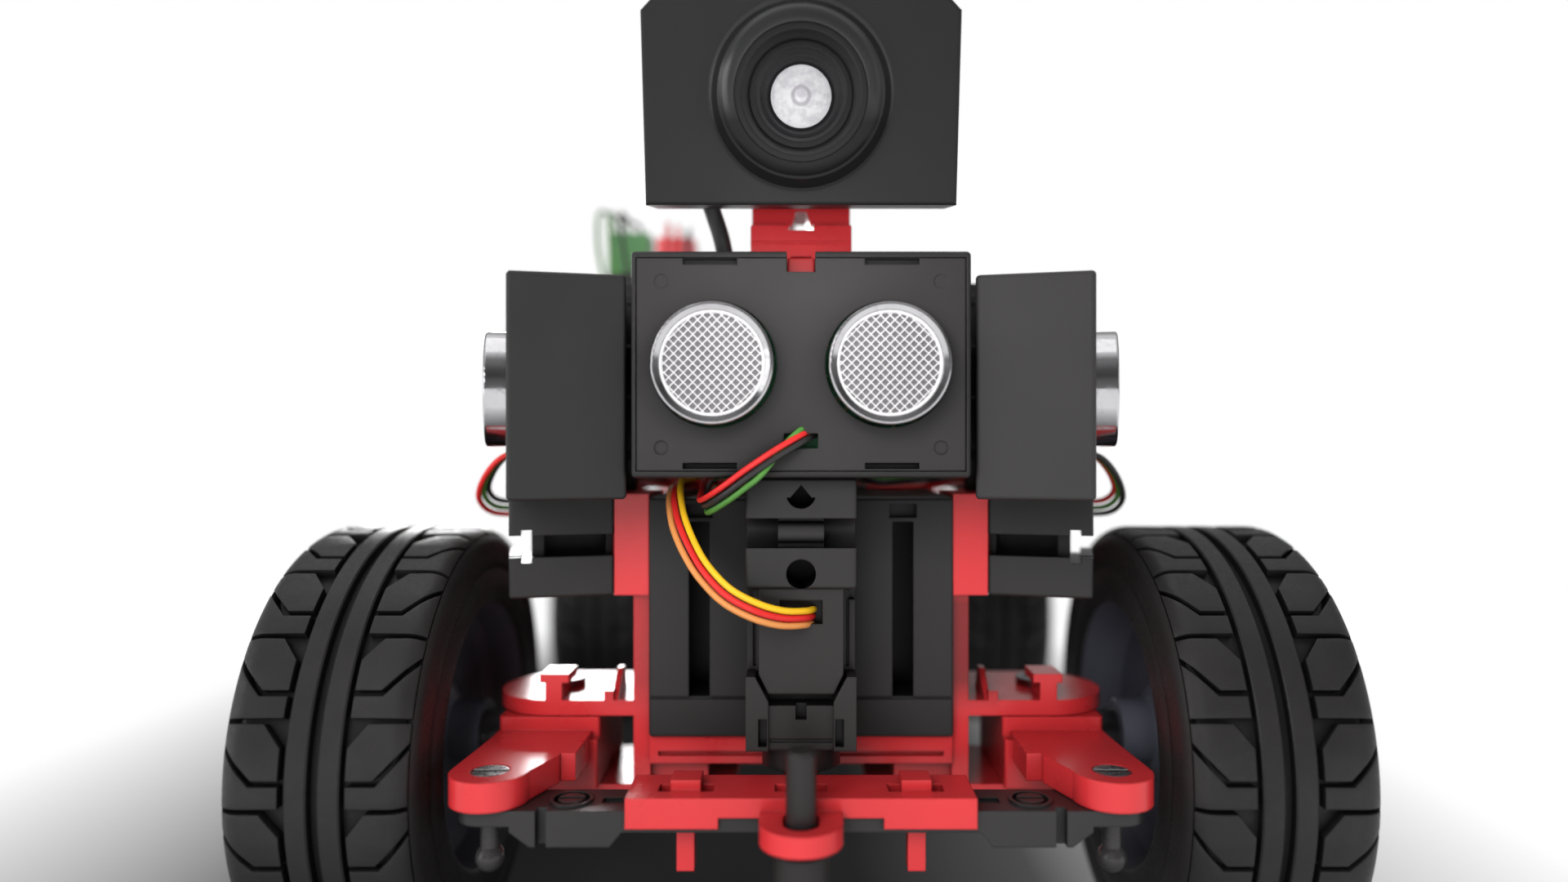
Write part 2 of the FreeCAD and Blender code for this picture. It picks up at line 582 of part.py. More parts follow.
export("camera_post", cut(
    post,
    prism_y([(-1.9, 109.9), (1.9, 109.9), (0.8, 113.9), (-0.8, 113.9)], -13, 5),
    box(-8, 8, -12, -11.3, 107.9, 108.3),
    box(-GROOVE_HALF, GROOVE_HALF, -12, -9.8, 72, 106),
    box(-GROOVE_HALF, GROOVE_HALF, 1.8, 4, 72, 106),
    cyl_x(HINGE_R, -12, HINGE_Y, HINGE_Z, 24),
    cyl_x(HOLE_R, -10, -4, 92.9, 20),
))
export("camera_hinge_pin", fuse(
    cyl_x(HINGE_R, -HALF_GRID, HINGE_Y, HINGE_Z, GRID),
    cyl_x(2.8, HALF_GRID, HINGE_Y, HINGE_Z, 1.0),
    cyl_x(2.6, -8.3, HINGE_Y, HINGE_Z, 0.8),
))

# Camera frame: y = 0 the front face, z = 0 the optical axis.
CAM_W, CAM_H, CAM_D = 42.0, 28.3, 13.0
CAM_TILT = 10.8          # camera looks down by this much at rest
CAM_SPLIT = 6.5          # joint between the front and back shells
CAM_WALL = 1.5
CAM_Y = -24.7 - CAM_H / 2 * math.sin(math.radians(CAM_TILT))
CAM_Z = 110.5 + CAM_H / 2 * math.cos(math.radians(CAM_TILT))
# tilt axis in the camera frame
pivot = FreeCAD.Rotation(V(1, 0, 0), -CAM_TILT).multVec(V(0, HINGE_Y - CAM_Y, HINGE_Z - CAM_Z))


def to_camera(shape):
    """Camera frame to its tilted place."""
    return turned_x(moved(shape, 0, CAM_Y, CAM_Z), CAM_Y, CAM_Z, CAM_TILT)


def camera_outline(y0, y1, inset=0.0):
    """Block with its two top corners cut off, drawn in by inset."""
    w, top = CAM_W / 2 - inset, CAM_H / 2 - inset
    c = 3.5 - inset * 0.6
    return prism_y([(-w, -top), (w, -top), (w, top - c), (w - c, top), (-w + c, top),
                    (-w, top - c)], y0, y1)


shell = camera_outline(0, CAM_SPLIT)
shell = shell.makeFillet(0.6, [e for e in shell.Edges if e.BoundBox.YMax < 1e-3])
export("camera_front_shell", to_camera(cut(
    shell.fuse(cone_y(12.0, 10.9, 2.2, 0.1, way=-1)),
    camera_outline(1.6, 7.0, CAM_WALL),
    cyl_y(8.75, 0, -4, 0, 9),
)))

shell = camera_outline(CAM_SPLIT, CAM_D)
shell = shell.makeFillet(0.6, [e for e in shell.Edges if e.BoundBox.YMin > CAM_D - 1e-3])
shell = cut(shell, camera_outline(6.0, CAM_D - 1.6, CAM_WALL), cyl_y(1.7, -10.0, 10, -9.5, 5))
LUG_HALF, LUG_R = 3.4, 4.2
lug = fuse(
    cyl_x(LUG_R, -LUG_HALF, pivot.y, pivot.z, 2 * LUG_HALF),
    box(-LUG_HALF, LUG_HALF, CAM_D - 0.4, pivot.y, pivot.z - LUG_R, pivot.z + LUG_R),
)
vents = [box(x, x + 1.2, CAM_D - 0.7, CAM_D + 1, 4, 10)
         for x in (-15, -12.4, -9.8, 8.6, 11.2, 13.8)]
bore = cyl_x(HINGE_R + RUN, -8, pivot.y, pivot.z, 16)
export("camera_back_shell", to_camera(cut(fuse(shell, lug), bore, *vents)))

# Lens barrel stepped in by two cones, with a domed glass
lens = cut(
    cyl_y(6.8, 0, -0.4, 0, 8.6),
    cone_y(6.0, 5.3, 1.0, -0.41),
    cone_y(5.0, 4.2, 1.0, 0.58),
)
dome = Part.makeSphere(9.0, V(0, 9.4, 0)).common(cyl_y(4.0, 0, 0, 0, 3))
export("camera_lens", to_camera(fuse(lens, dome)))
export("camera_focus_ring", to_camera(cut(
    cyl_y(8.7, 0, -2.0, 0, 7.8),
    cyl_y(6.85, 0, -3, 0, 12),
    cone_y(7.9, 6.85, 1.6, -2.01),
)))
export("camera_board", to_camera(cut(
    box(-17, 17, 8.2, 9.8, -11.5, 11.3),
    cyl_y(1.2, -15.5, 8, 9.5, 3),
    cyl_y(1.2, 15.5, 8, 9.5, 3),
)))

# ---- chassis beam, rear deck and bumper ---------------------------------------------------
PIN_ROWS = (122.5, 122.5 + GRID)         # y of the holes through beam and deck
deck_pins = [cyl_z(HOLE_R, side * HALF_GRID, y, 40, 35) for side in SIDES for y in PIN_ROWS]
cuts = list(deck_pins)
for side in SIDES:
    # side groove mouth, its inner channel, and a top groove
    cuts.append(mid_box(side * 14.5, 1.5, 19.5, 150.5, 61.3, 64.5))
    cuts.append(mid_box(side * 12.4, 0.8, 19.5, 150.5, 60.3, 65.5))
    cuts.append(mid_box(side * HALF_GRID, GROOVE_HALF, 19.5, 118.0, 68.6, 71))
beam = box(-GRID, GRID, COLUMN_BACK, BEAM_BACK, BEAM_Z, COLUMN_TOP, BLOCK_FILLET)
export("chassis_beam", cut(beam, *cuts))

# Deck with two pockets open at the top, each with a rib along its middle
POCKET_X = 24.5
pockets = [mid_box(side * POCKET_X, 8.5, 110, 146, 49.9, 56) for side in SIDES]
stays = [mid_box(side * POCKET_X, 1, 109, 147, 49, 54.6) for side in SIDES]
deck = cut(box(-36.0, 36.0, 106.0, 150.0, 47.5, BEAM_Z, 0.6), *pockets, *deck_pins)
export("rear_deck", fuse(deck, *stays))

bumper = fuse(
    box(-45.0, 45.0, BUMPER_BACK - 6.0, BUMPER_BACK, 40.4, COLUMN_TOP, 0.8),
    box(-GRID, GRID, BEAM_BACK, BUMPER_BACK - 5.0, BEAM_Z, COLUMN_TOP),
    box(-40.0, 40.0, BUMPER_BACK - 9.0, BUMPER_BACK - 5.0, 54.0, 56.4),
)
cuts = [cyl_z(2.1, 0, 157.75, 50, 25)]
for side in SIDES:
    for z in (47.9, 47.9 + GRID):
        cuts.append(cyl_y(HOLE_R, side * COLUMN_HALF, BUMPER_BACK - 12, z, 14))
for x in (-37.5, 0, 37.5):
    cuts.append(mid_box(x, GROOVE_HALF, BUMPER_BACK - 1.6, BUMPER_BACK + 1, 43, 68))
export("rear_bumper", cut(bumper, *cuts))

# ---- rear drive, drawn on the front track -----------------------------------------------
gearbox = fuse(
    box(16.0, 44.0, 113.0, 143.0, 17.5, 47.5, 0.8),
    cyl_x(5.0, 43.5, WHEELBASE, AXLE_Z, 2.5),
    box(17.5, 42.5, 112.0, 114.0, 19.5, 45.5),
)
gearbox = moved(cut(
    gearbox,
    cyl_x(AXLE_R + RUN, 31.0, WHEELBASE, AXLE_Z, 20),
    box(15, 45, 127.2, 127.8, 17, 18.1),
    box(43.5, 45, 116, 121, 20, 23.2),
    box(43.5, 45, 135, 140, 41.8, 45),
), -NARROW, 0, 0)
export("gearboxes", gearbox, mirror(gearbox))

# Motor cylinders: radius, front end y, length
MOTOR_STEPS = [(12.0, 80.0, 32.0), (10.0, 78.6, 2.0), (3.2, 76.6, 2.5)]
motor = fuse(*[cyl_y(r, 30.0 - NARROW, y, AXLE_Z, length) for r, y, length in MOTOR_STEPS])
export("motor_cans", motor, mirror(motor))

# ---- battery ---------------------------------------------------------------------------------
tray = cut(box(-30.0, 30.0, 21.0, 73.0, 31.5, BEAM_Z, 0.8),
           box(-28.2, 28.2, 22.8, 71.2, 33.3, 53.6))
slots = [box(-31, 31, 28 + 8 * i, 29.4 + 8 * i, 37.0, 49.0) for i in range(5)]
export("battery_case", cut(tray, *slots))
export("battery_pack", box(-26.0, 26.0, 24.0, 70.0, 33.3, 51.3, 2.0))

# ---- controller --------------------------------------------------------------------------------
CTRL_W, CTRL_L = 85.0, 90.0
CTRL_HALF = CTRL_W / 2
CTRL_FRONT = 25.0
CTRL_BACK = CTRL_FRONT + CTRL_L
CTRL_SPLIT, CTRL_TOP = 86.0, 101.0       # case below the split, cover above
CTRL_WALL = 1.8
BOARD_Z = 83.8
BUTTON_Y, BUTTON_R = 96, 4.0
SCREWS = [(side * 37, y) for side in SIDES for y in (CTRL_FRONT + 6, CTRL_BACK - 6)]


def controller_box(z0, z1, inset=0.0):
    half = CTRL_HALF - inset
    return box(-half, half, CTRL_FRONT + inset, CTRL_BACK - inset, z0, z1)


def side_windows(start, length, z0, z1):
    """Four openings along each side wall."""
    return [mid_box(side * CTRL_HALF, 3, start + 17 * i, start + 17 * i + length, z0, z1)
            for i in range(4) for side in SIDES]


case = cut(controller_box(COLUMN_TOP, CTRL_SPLIT),
           controller_box(COLUMN_TOP + CTRL_WALL, 87, CTRL_WALL))
# Round the four outer upright edges.
case = case.makeFillet(1.6, [
    e for e in case.Edges
    if e.BoundBox.ZLength > 15 and e.BoundBox.XLength < 0.1
    and abs(abs(e.BoundBox.XMin) - CTRL_HALF) < 0.01])
case = cut(case, *side_windows(CTRL_FRONT + 16, 9, 75.0, 81.0))
bosses = [cyl_z(2.6, x, y, COLUMN_TOP + 1.0, 12.4) for x, y in SCREWS]
export("controller_case", fuse(case, *bosses))
export("controller_board", cut(
    box(-39.5, 39.5, CTRL_FRONT + 3, CTRL_BACK - 3, BOARD_Z, BOARD_Z + 1.6),
    cyl_z(1.5, 0, 60, 80, 8),
))

cover = controller_box(CTRL_SPLIT, CTRL_TOP)
# Round the top and upright edges.
cover = cover.makeFillet(1.6, [
    e for e in cover.Edges
    if e.BoundBox.ZMin > CTRL_TOP - 0.1 or e.BoundBox.ZLength > 14])
cover = cut(
    cover,
    controller_box(85, CTRL_TOP - CTRL_WALL, CTRL_WALL),
    box(-18, 26, 44, 80, 100.2, 102),
    box(-16, 24, 46, 78, 98, 102),
    cyl_z(BUTTON_R + RUN, 0, BUTTON_Y, 95, 10),
)
cover = cut(cover, *side_windows(CTRL_FRONT + 15, 9.5, 88.5, 96.0))
export("controller_cover", cut(cover, *[cyl_z(1.3, x, y, 98, 5) for x, y in SCREWS]))
export("controller_screen", fuse(
    box(-17.8, 25.8, 44.2, 79.8, 100.2, 100.9),
    box(-15.8, 23.8, 46.2, 77.8, 98.6, 100.3),
))
export("power_button", fuse(
    cyl_z(BUTTON_R, 0, BUTTON_Y, 98.0, 4.0),
    cyl_z(5.2, 0, BUTTON_Y, 97.2, 1.0),
))

# Cover screws with hexagon sockets
screws = []
for x, y in SCREWS:
    screw = fuse(cyl_z(2.3, x, y, CTRL_TOP, 1.2), cyl_z(1.3, x, y, 98.4, 2.8))
    screws.append(cut(screw, prism_z(hexagon(x, y, 1.1), 101.5, 103)))
export("cover_screws", *screws)

# ---- cables: (x, y, z) stations ending at the controller ----------------------------------
SERVO_CABLE = [
    (-0.6, -26.3, 55.6), (-5.0, -28.2, 56.2), (-10.0, -27.0, 59.5), (-13.2, -22.0, 64.8),
    (-14.0, -16.5, 70.0), (-14.0, -11.0, 72.1), (-13.6, 0.0, 72.1), (-12.5, 12.0, 72.4),
    (-12.0, 21.0, 74.5), (-12.0, 24.2, 76.5),
]
FRONT_CABLE = [
    (-0.6, -29.0, 78.3), (-3.8, -31.0, 75.2), (-9.0, -30.0, 71.0), (-13.5, -25.0, 69.2),
    (-16.8, -18.0, 70.4), (-17.6, -11.5, 72.1), (-17.2, 0.0, 72.1), (-16.5, 12.0, 72.4),
    (-16.5, 21.0, 74.5), (-16.5, 24.2, 76.5),
]
# Side cable: first stations in the side sensor frame, the rest in the car's.
SIDE_START = [
    (-23.4, -2.1, 75.4), (-25.6, -3.9, 72.0), (-28.8, -3.2, 69.4),
    (-32.4, -0.4, 68.2), (-33.6, 6.0, 68.4), (-33.2, 13.0, 68.8),
]
SIDE_END = [(-28.6, 14.0, 71.6), (-23.4, 19.0, 73.6), (-22.0, 24.2, 76.5)]
CAMERA_CABLE = [
    (-12.4, -9.0, 109.4), (-14.0, -8.6, 104.0), (-15.4, -6.0, 92.0), (-15.6, 0.0, 82.0),
    (-13.0, 10.0, 78.5), (-8.0, 18.0, 78.0), (-6.0, 24.2, 78.5),
]
left = cable([left_point(*p) for p in SIDE_START] + SIDE_END, 1.1)
export("cable_loom", cable(SERVO_CABLE, 1.15), cable(FRONT_CABLE, 1.15), left, mirror(left))
export("camera_cable", cable(CAMERA_CABLE, 1.4))

# Two plugs standing on the cover, and one in each side wall
export(
    "controller_plugs",
    box(-42.0, -33.0, 57.0, 66.0, CTRL_TOP, 124.0, 0.5),
    box(-30.5, -22.5, 50.0, 58.0, CTRL_TOP, 121.5, 0.5),
    box(-51.6, -42.5, 42.2, 49.8, 89.2, 95.4),
    box(42.5, 51.6, 59.2, 66.8, 89.2, 95.4),
)
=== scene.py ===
# A four-wheeled model robot car: three twin-can sensors and a tilting camera at the nose,
# a controller on the rear deck and rubber tyres with moulded tread.
# The nose points to -Y, the car's "left" parts lie at -X, +Z is up and the tyres stand on z = 0.
# Shapes are given in millimetres and scaled by MM; shaders, lights and view are in metres.
import math
import random

import bmesh
import bpy
from mathutils import Matrix, Vector

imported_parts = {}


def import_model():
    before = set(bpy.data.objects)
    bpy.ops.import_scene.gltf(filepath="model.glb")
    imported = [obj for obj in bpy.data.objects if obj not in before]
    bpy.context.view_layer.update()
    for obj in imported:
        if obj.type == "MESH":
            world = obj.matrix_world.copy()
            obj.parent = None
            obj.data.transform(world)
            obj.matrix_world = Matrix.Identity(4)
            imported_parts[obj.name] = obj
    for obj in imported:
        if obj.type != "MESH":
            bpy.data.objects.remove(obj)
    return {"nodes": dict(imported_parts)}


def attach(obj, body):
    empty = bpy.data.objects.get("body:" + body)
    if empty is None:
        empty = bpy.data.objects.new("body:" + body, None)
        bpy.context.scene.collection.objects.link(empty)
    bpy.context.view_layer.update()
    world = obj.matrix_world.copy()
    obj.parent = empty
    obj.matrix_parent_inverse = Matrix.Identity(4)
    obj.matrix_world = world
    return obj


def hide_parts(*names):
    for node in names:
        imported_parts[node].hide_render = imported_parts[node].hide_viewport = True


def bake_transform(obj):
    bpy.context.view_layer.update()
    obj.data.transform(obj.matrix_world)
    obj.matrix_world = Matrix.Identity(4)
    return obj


cad_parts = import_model()["nodes"]
random.seed(7)

MM = 0.001
FRONT_Y, REAR_Y = -64.0, 64.0      # the two axles
FRONT_X, REAR_X = 62.3, 52.3       # middle of a tyre, out from the middle of the car
TYRE_R = 32.5
AXLE_Z = TYRE_R

CAMERA_TILT = math.radians(10.8)
CAMERA_HALF = 28.3 / 2             # half the height of the camera body
LENS_Y = -24.7 - CAMERA_HALF * math.sin(CAMERA_TILT)
LENS_Z = 110.5 + CAMERA_HALF * math.cos(CAMERA_TILT)
CAMERA_FRAME = (Matrix.Translation((0, LENS_Y + FRONT_Y, LENS_Z))
                @ Matrix.Rotation(CAMERA_TILT, 4, "X"))


# ------------------------------------------------------------------ node helpers
MATERIALS = {}
NOISE = (0.3, 0.7)                 # the range that holds most of a noise texture's values


class Nodes:
    """Adds nodes to a tree. A value is a number, a colour or the output of another node."""

    def __init__(self, tree):
        self.tree = tree

    def feed(self, socket, value):
        if isinstance(value, bpy.types.NodeSocket):
            self.tree.links.new(value, socket)
        else:
            socket.default_value = value

    def node(self, kind, **values):
        made = self.tree.nodes.new(kind)
        for key, value in values.items():
            if hasattr(made, key):
                setattr(made, key, value)
            else:
                self.feed(made.inputs[key], value)
        return made

    def calc(self, operation, *terms):
        made = self.node("ShaderNodeMath", operation=operation)
        for socket, term in zip(made.inputs, terms):
            self.feed(socket, term)
        return made.outputs[0]

    def multiply(self, product, *factors):
        for factor in factors:
            product = self.calc("MULTIPLY", product, factor)
        return product

    def hypot(self, a, b):
        return self.calc("SQRT", self.calc("ADD", self.multiply(a, a), self.multiply(b, b)))

    def remap(self, value, span, to=(0.0, 1.0)):
        """Maps span onto to, held at both ends."""
        made = self.node("ShaderNodeMapRange")
        for socket, item in zip(made.inputs, (value, *span, *to)):
            self.feed(socket, item)
        return made.outputs[0]

    def axes(self, vector):
        return self.node("ShaderNodeSeparateXYZ", Vector=vector).outputs


class Shader(Nodes):
    """A new material and its principled shader."""

    def __init__(self, name):
        material = bpy.data.materials.new(name)
        material.use_nodes = True
        super().__init__(material.node_tree)
        self.bsdf = self.tree.nodes["Principled BSDF"]
        self.coord = self.node("ShaderNodeTexCoord").outputs["Object"]
        MATERIALS[name] = material

    def surface(self, settings):
        for key, value in settings.items():
            self.feed(self.bsdf.inputs[key], value)

    def noise(self, scale, detail=3.0, rough=0.5, stretch=None):
        source = self.coord
        if stretch:
            source = self.node("ShaderNodeMapping", Scale=stretch, Vector=source).outputs["Vector"]
        return self.node("ShaderNodeTexNoise", Scale=scale, Detail=detail, Roughness=rough,
                         Vector=source).outputs["Fac"]

    def mix(self, amount, under, over):
        made = self.node("ShaderNodeMix", data_type="RGBA")
        for index, value in ((0, amount), (6, under), (7, over)):
            self.feed(made.inputs[index], value)
        return made.outputs[2]

    def mottle(self, color, pattern, darker, lighter):
        return self.mix(self.remap(pattern, NOISE), rgba(color, darker), rgba(color, lighter))

    def bump(self, height, strength, distance, **normal):
        return self.node("ShaderNodeBump", Strength=strength, Distance=distance,
                         Height=height, **normal).outputs["Normal"]

    def geometry(self, output):
        return self.node("ShaderNodeNewGeometry").outputs[output]

    def rounded(self, radius):
        return self.node("ShaderNodeBevel", samples=4, Radius=radius).outputs[0]

    def edge_mask(self, rounded):
        """1 along edges, where the rounded normal leaves the true one."""
        dot = self.node("ShaderNodeVectorMath", operation="DOT_PRODUCT")
        self.feed(dot.inputs[0], rounded)
        self.feed(dot.inputs[1], self.geometry("Normal"))
        return self.remap(dot.outputs["Value"], (0.995, 0.80))

    def openness(self, reach):
        return self.node("ShaderNodeAmbientOcclusion", samples=4, Distance=reach).outputs["AO"]


def rgba(color, gain=1.0):
    return (*(min(channel * gain, 1.0) for channel in color), 1.0)


# ------------------------------------------------------------------ general materials
def frame_shadows(shader, base, place, color):
    """Paints shadow into two deep places of the red frame."""
    # painted shadow: the tongue of the camera post lies deep in the notch of the front sensor and
    # is darkened there
    tongue_shade = shader.multiply(
        shader.remap(place["Y"], (-0.0872, -0.0862), to=(1.0, 0.0)),
        shader.remap(place["Z"], (0.0885, 0.0895)),
        shader.remap(shader.calc("ABSOLUTE", place["X"]), (0.0021, 0.0023), to=(0.8, 0.0)))
    base = shader.mix(tongue_shade, base, rgba(color, 0.3))
    # painted shadow: the upright strips of the base frame stand back under the side blocks and are
    # darkened there, more on the right
    strip_shade = shader.multiply(
        shader.remap(place["Z"], (0.0545, 0.0560), to=(1.0, 0.0)),
        shader.remap(place["Z"], (0.0385, 0.0430)),
        shader.remap(shader.calc("ABSOLUTE", place["X"]), (0.0212, 0.0222)),
        shader.remap(shader.calc("ABSOLUTE", place["X"]), (0.0290, 0.0300), to=(1.0, 0.0)),
        shader.remap(place["X"], (-0.010, 0.010), to=(0.40, 0.85)))
    return shader.mix(strip_shade, base, rgba(color, 0.2))


def deep_shadow(shader, base, color, deep, frame):
    """Paints shade into hollows of parts below about 95 mm, where ambient occlusion finds them;
    frame adds the red frame's own painted shadows.
    """
    closed, gain = (0.15, 0.26) if frame else (0.30, 0.06)   # darkest openness, shadow colour
    place = shader.axes(shader.geometry("Position"))
    if frame:
        base = frame_shadows(shader, base, place, color)
    low = shader.remap(place["Z"], (0.090, 0.100), to=(1.0, 0.0))
    hollow_shade = shader.remap(shader.openness(reach=0.014), (closed, 0.90), to=(deep, 0.0))
    return shader.mix(shader.multiply(low, hollow_shade), base, rgba(color, gain))


def top_dust(shader, base, dust):
    facing_up = shader.remap(shader.axes(shader.geometry("Normal"))["Z"], (0.6, 1.0))
    patches = shader.remap(shader.noise(scale=240.0), (0.4, 0.7), to=(0.0, dust))
    return shader.mix(shader.multiply(facing_up, patches), base, (0.45, 0.43, 0.40, 1.0))


def plastic(name, color, rough=0.42, vary=0.10, grain=0.18, grain_scale=2600.0, radius=0.00035,
            edge=0.25, spec=0.5, coat=0.0, dust=0.0, deep=0.0, frame=False):
    """Moulded plastic: mottled by vary, finely grained, paler by edge along worn edges; deep
    paints shade into hollows.
    """
    shader = Shader(name)
    normal = shader.rounded(radius)
    cloud = shader.noise(scale=60.0, detail=4.0, rough=0.6)
    streak = shader.noise(scale=420.0, rough=0.55, stretch=(1.0, 1.0, 0.18))
    base = shader.mottle(color, cloud, darker=1 - vary, lighter=1 + vary)
    streaked = shader.multiply(shader.remap(streak, (0.45, 0.75)), 0.06)
    base = shader.mix(streaked, base, rgba(color, 1.25))
    worn_color = tuple(min(1.0, channel * 1.5 + 0.03) for channel in color)
    patches = shader.remap(shader.noise(scale=900.0), (0.35, 0.65), to=(0.25, 1.0))
    worn = shader.multiply(shader.edge_mask(normal), patches)
    base = shader.mix(shader.multiply(worn, edge), base, rgba(worn_color))
    if dust:
        base = top_dust(shader, base, dust)
    # painted shade: hollows and creases darkened by ambient occlusion
    if deep:
        base = deep_shadow(shader, base, color, deep, frame)
    roughness = shader.remap(shader.noise(scale=120.0), NOISE, to=(rough - 0.04, rough + 0.05))
    fine = shader.noise(grain_scale, detail=2.0, rough=0.6)
    shader.surface({
        "Base Color": base,
        "Roughness": shader.calc("SUBTRACT", roughness, shader.multiply(worn, 0.08)),
        "Normal": shader.bump(fine, strength=grain, distance=0.00004, Normal=normal),
        "Specular IOR Level": spec,
        "Coat Weight": coat,
        "Coat Roughness": 0.12,
    })


def metal(name, color, rough, brushed=(1, 1, 1), scratch=0.15):
    """Metal with brush lines, drawn out along the axis whose brushed value is small."""
    shader = Shader(name)
    normal = shader.rounded(0.0002)
    cloud = shader.noise(scale=90.0, detail=4.0, rough=0.6)
    line = shader.noise(scale=900.0, detail=4.0, rough=0.65, stretch=brushed)
    base = shader.mottle(color, cloud, darker=0.88, lighter=1.05)
    lined = shader.multiply(shader.remap(line, (0.55, 0.8)), 0.35)
    base = shader.mix(lined, base, rgba(color, 0.6))
    bright_edge = shader.multiply(shader.edge_mask(normal), 0.4)
    shader.surface({
        "Base Color": shader.mix(bright_edge, base, (0.95, 0.95, 0.95, 1)),
        "Metallic": 1.0,
        "Roughness": shader.remap(line, NOISE, to=(max(rough - 0.08, 0.03), rough + 0.10)),
        "Normal": shader.bump(line, strength=scratch, distance=0.00002, Normal=normal),
    })


def tyre_rubber():
    """Speckled rubber, with shade painted into the grooves."""
    shader = Shader("tyre_rubber")
    color = (0.0185, 0.0174, 0.0178)
    cloud = shader.noise(scale=70.0, detail=5.0, rough=0.65)
    fine = shader.noise(scale=1500.0, detail=4.0, rough=0.7)
    base = shader.mottle(color, cloud, darker=0.82, lighter=1.22)
    speck = shader.remap(shader.noise(scale=3200.0, detail=2.0), (0.62, 0.74), to=(0.0, 0.35))
    base = shader.mix(speck, base, rgba(color, 2.2))
    # painted shade: ambient occlusion darkens the rubber in the grooves
    groove = shader.remap(shader.openness(reach=0.0032), (0.35, 0.92), to=(0.85, 0.0))
    shader.surface({
        "Base Color": shader.mix(groove, base, rgba(color, 0.12)),
        "Roughness": shader.remap(fine, NOISE, to=(0.34, 0.56)),
        "Normal": shader.bump(fine, strength=0.35, distance=0.00008),
        "Specular IOR Level": 0.32,
    })


def green_board():
    """Circuit board: brick-like tracks and gold dots."""
    shader = Shader("green_board")
    color = (0.015, 0.13, 0.05)
    brick = shader.node("ShaderNodeTexBrick", Scale=330.0, Color1=rgba(color, 0.8),
                        Color2=rgba(color, 1.3), Mortar=rgba(color, 2.2), Vector=shader.coord,
                        **{"Mortar Size": 0.06})
    cells = shader.node("ShaderNodeTexVoronoi", Scale=420.0, Vector=shader.coord)
    dots = shader.remap(cells.outputs["Distance"], (0.16, 0.20), to=(1.0, 0.0))
    shader.surface({
        "Base Color": shader.mix(shader.multiply(dots, 0.7), brick.outputs["Color"],
                                 (0.75, 0.62, 0.28, 1)),
        "Roughness": 0.32,
        "Normal": shader.bump(brick.outputs["Fac"], strength=0.2, distance=0.00004,
                              Normal=shader.rounded(0.0002)),
    })


SHELL = dict(vary=0.06, grain=0.24, grain_scale=3400.0, edge=0.45, spec=0.32, deep=0.95)
SCREEN = dict(rough=0.2, vary=0.05, grain=0.0, edge=0.0, coat=0.5)

plastic("red_moulded", color=(0.60, 0.030, 0.035), rough=0.30, vary=0.06, grain=0.12, edge=0.10,
        spec=0.42, coat=0.16, deep=0.8, frame=True)
plastic("black_moulded", color=(0.0245, 0.0232, 0.0234), grain=0.22, edge=0.30, spec=0.32,
        deep=0.95)
plastic("black_sensor_shell", color=(0.0215, 0.0208, 0.0208), **SHELL)
# painted light: a lighter copy of the shell colour for the right sensor, which catches more light
plastic("black_sensor_shell_lit_right", color=(0.0310, 0.0295, 0.0300), **SHELL)
plastic("black_sensor_face", color=(0.029, 0.0272, 0.0272), vary=0.08, grain=0.28,
        grain_scale=3000.0, edge=0.35, spec=0.32, deep=0.95)
plastic("black_camera_body", color=(0.0160, 0.0158, 0.0160), rough=0.40, vary=0.07, grain=0.20,
        edge=0.30, spec=0.25)
plastic("black_focus_ring", color=(0.008, 0.008, 0.0085), rough=0.30, vary=0.08, grain=0.10,
        edge=0.30, spec=0.4)
plastic("black_servo", color=(0.021, 0.019, 0.019), rough=0.38, grain=0.20, edge=0.30,
        spec=0.35, deep=0.8)
plastic("black_steering_rod", color=(0.026, 0.0245, 0.025), rough=0.34, vary=0.12, edge=0.40,
        spec=0.4, deep=0.8)
plastic("blue_grey_rim", color=(0.058, 0.060, 0.078), rough=0.38, grain=0.16)
plastic("grey_controller", color=(0.44, 0.45, 0.46), rough=0.44, vary=0.05, grain=0.25, dust=0.06)
plastic("dark_controller_base", color=(0.10, 0.105, 0.11), rough=0.48, vary=0.08, grain=0.25)
plastic("blue_battery_wrap", color=(0.02, 0.07, 0.30), rough=0.25, vary=0.12, grain=0.08,
        edge=0.2, coat=0.5)
plastic("red_button", color=(0.60, 0.03, 0.03), rough=0.5, vary=0.06, grain=0.3, edge=0.3)
plastic("screen_glass", color=(0.012, 0.016, 0.020), rough=0.10, vary=0.2, grain=0.02,
        edge=0.1, coat=0.8)
plastic("lens_barrel", color=(0.006, 0.006, 0.0065), rough=0.28, grain=0.08, edge=0.30, spec=0.4)
plastic("white_socket", color=(0.72, 0.70, 0.66), rough=0.45, vary=0.05, grain=0.15, edge=0.1)
metal("turned_steel", color=(0.62, 0.62, 0.63), rough=0.26, brushed=(0.1, 1, 1))
metal("dark_pin_steel", color=(0.20, 0.20, 0.21), rough=0.34, brushed=(1, 1, 0.1))
metal("bright_can", color=(0.69, 0.68, 0.70), rough=0.12, scratch=0.04)
plastic("grille_back", color=(0.145, 0.139, 0.145), rough=0.38, vary=0.12, grain=0.25,
        edge=0.0, spec=0.6)
metal("contact_gold", color=(0.80, 0.62, 0.28), rough=0.28)
plastic("screen_pale", color=(0.45, 0.55, 0.58), **SCREEN)
plastic("screen_blue", color=(0.10, 0.26, 0.42), **SCREEN)
plastic("orange_element", color=(0.60, 0.22, 0.05), rough=0.5, grain=0.2)
plastic("bright_wire_mesh", color=(0.70, 0.69, 0.70), rough=0.30, vary=0.03, grain=0.0,
        edge=0.0, spec=0.8, radius=0.00002)
metal("zinc_motor_can", color=(0.50, 0.50, 0.52), rough=0.30, brushed=(1, 0.08, 1))
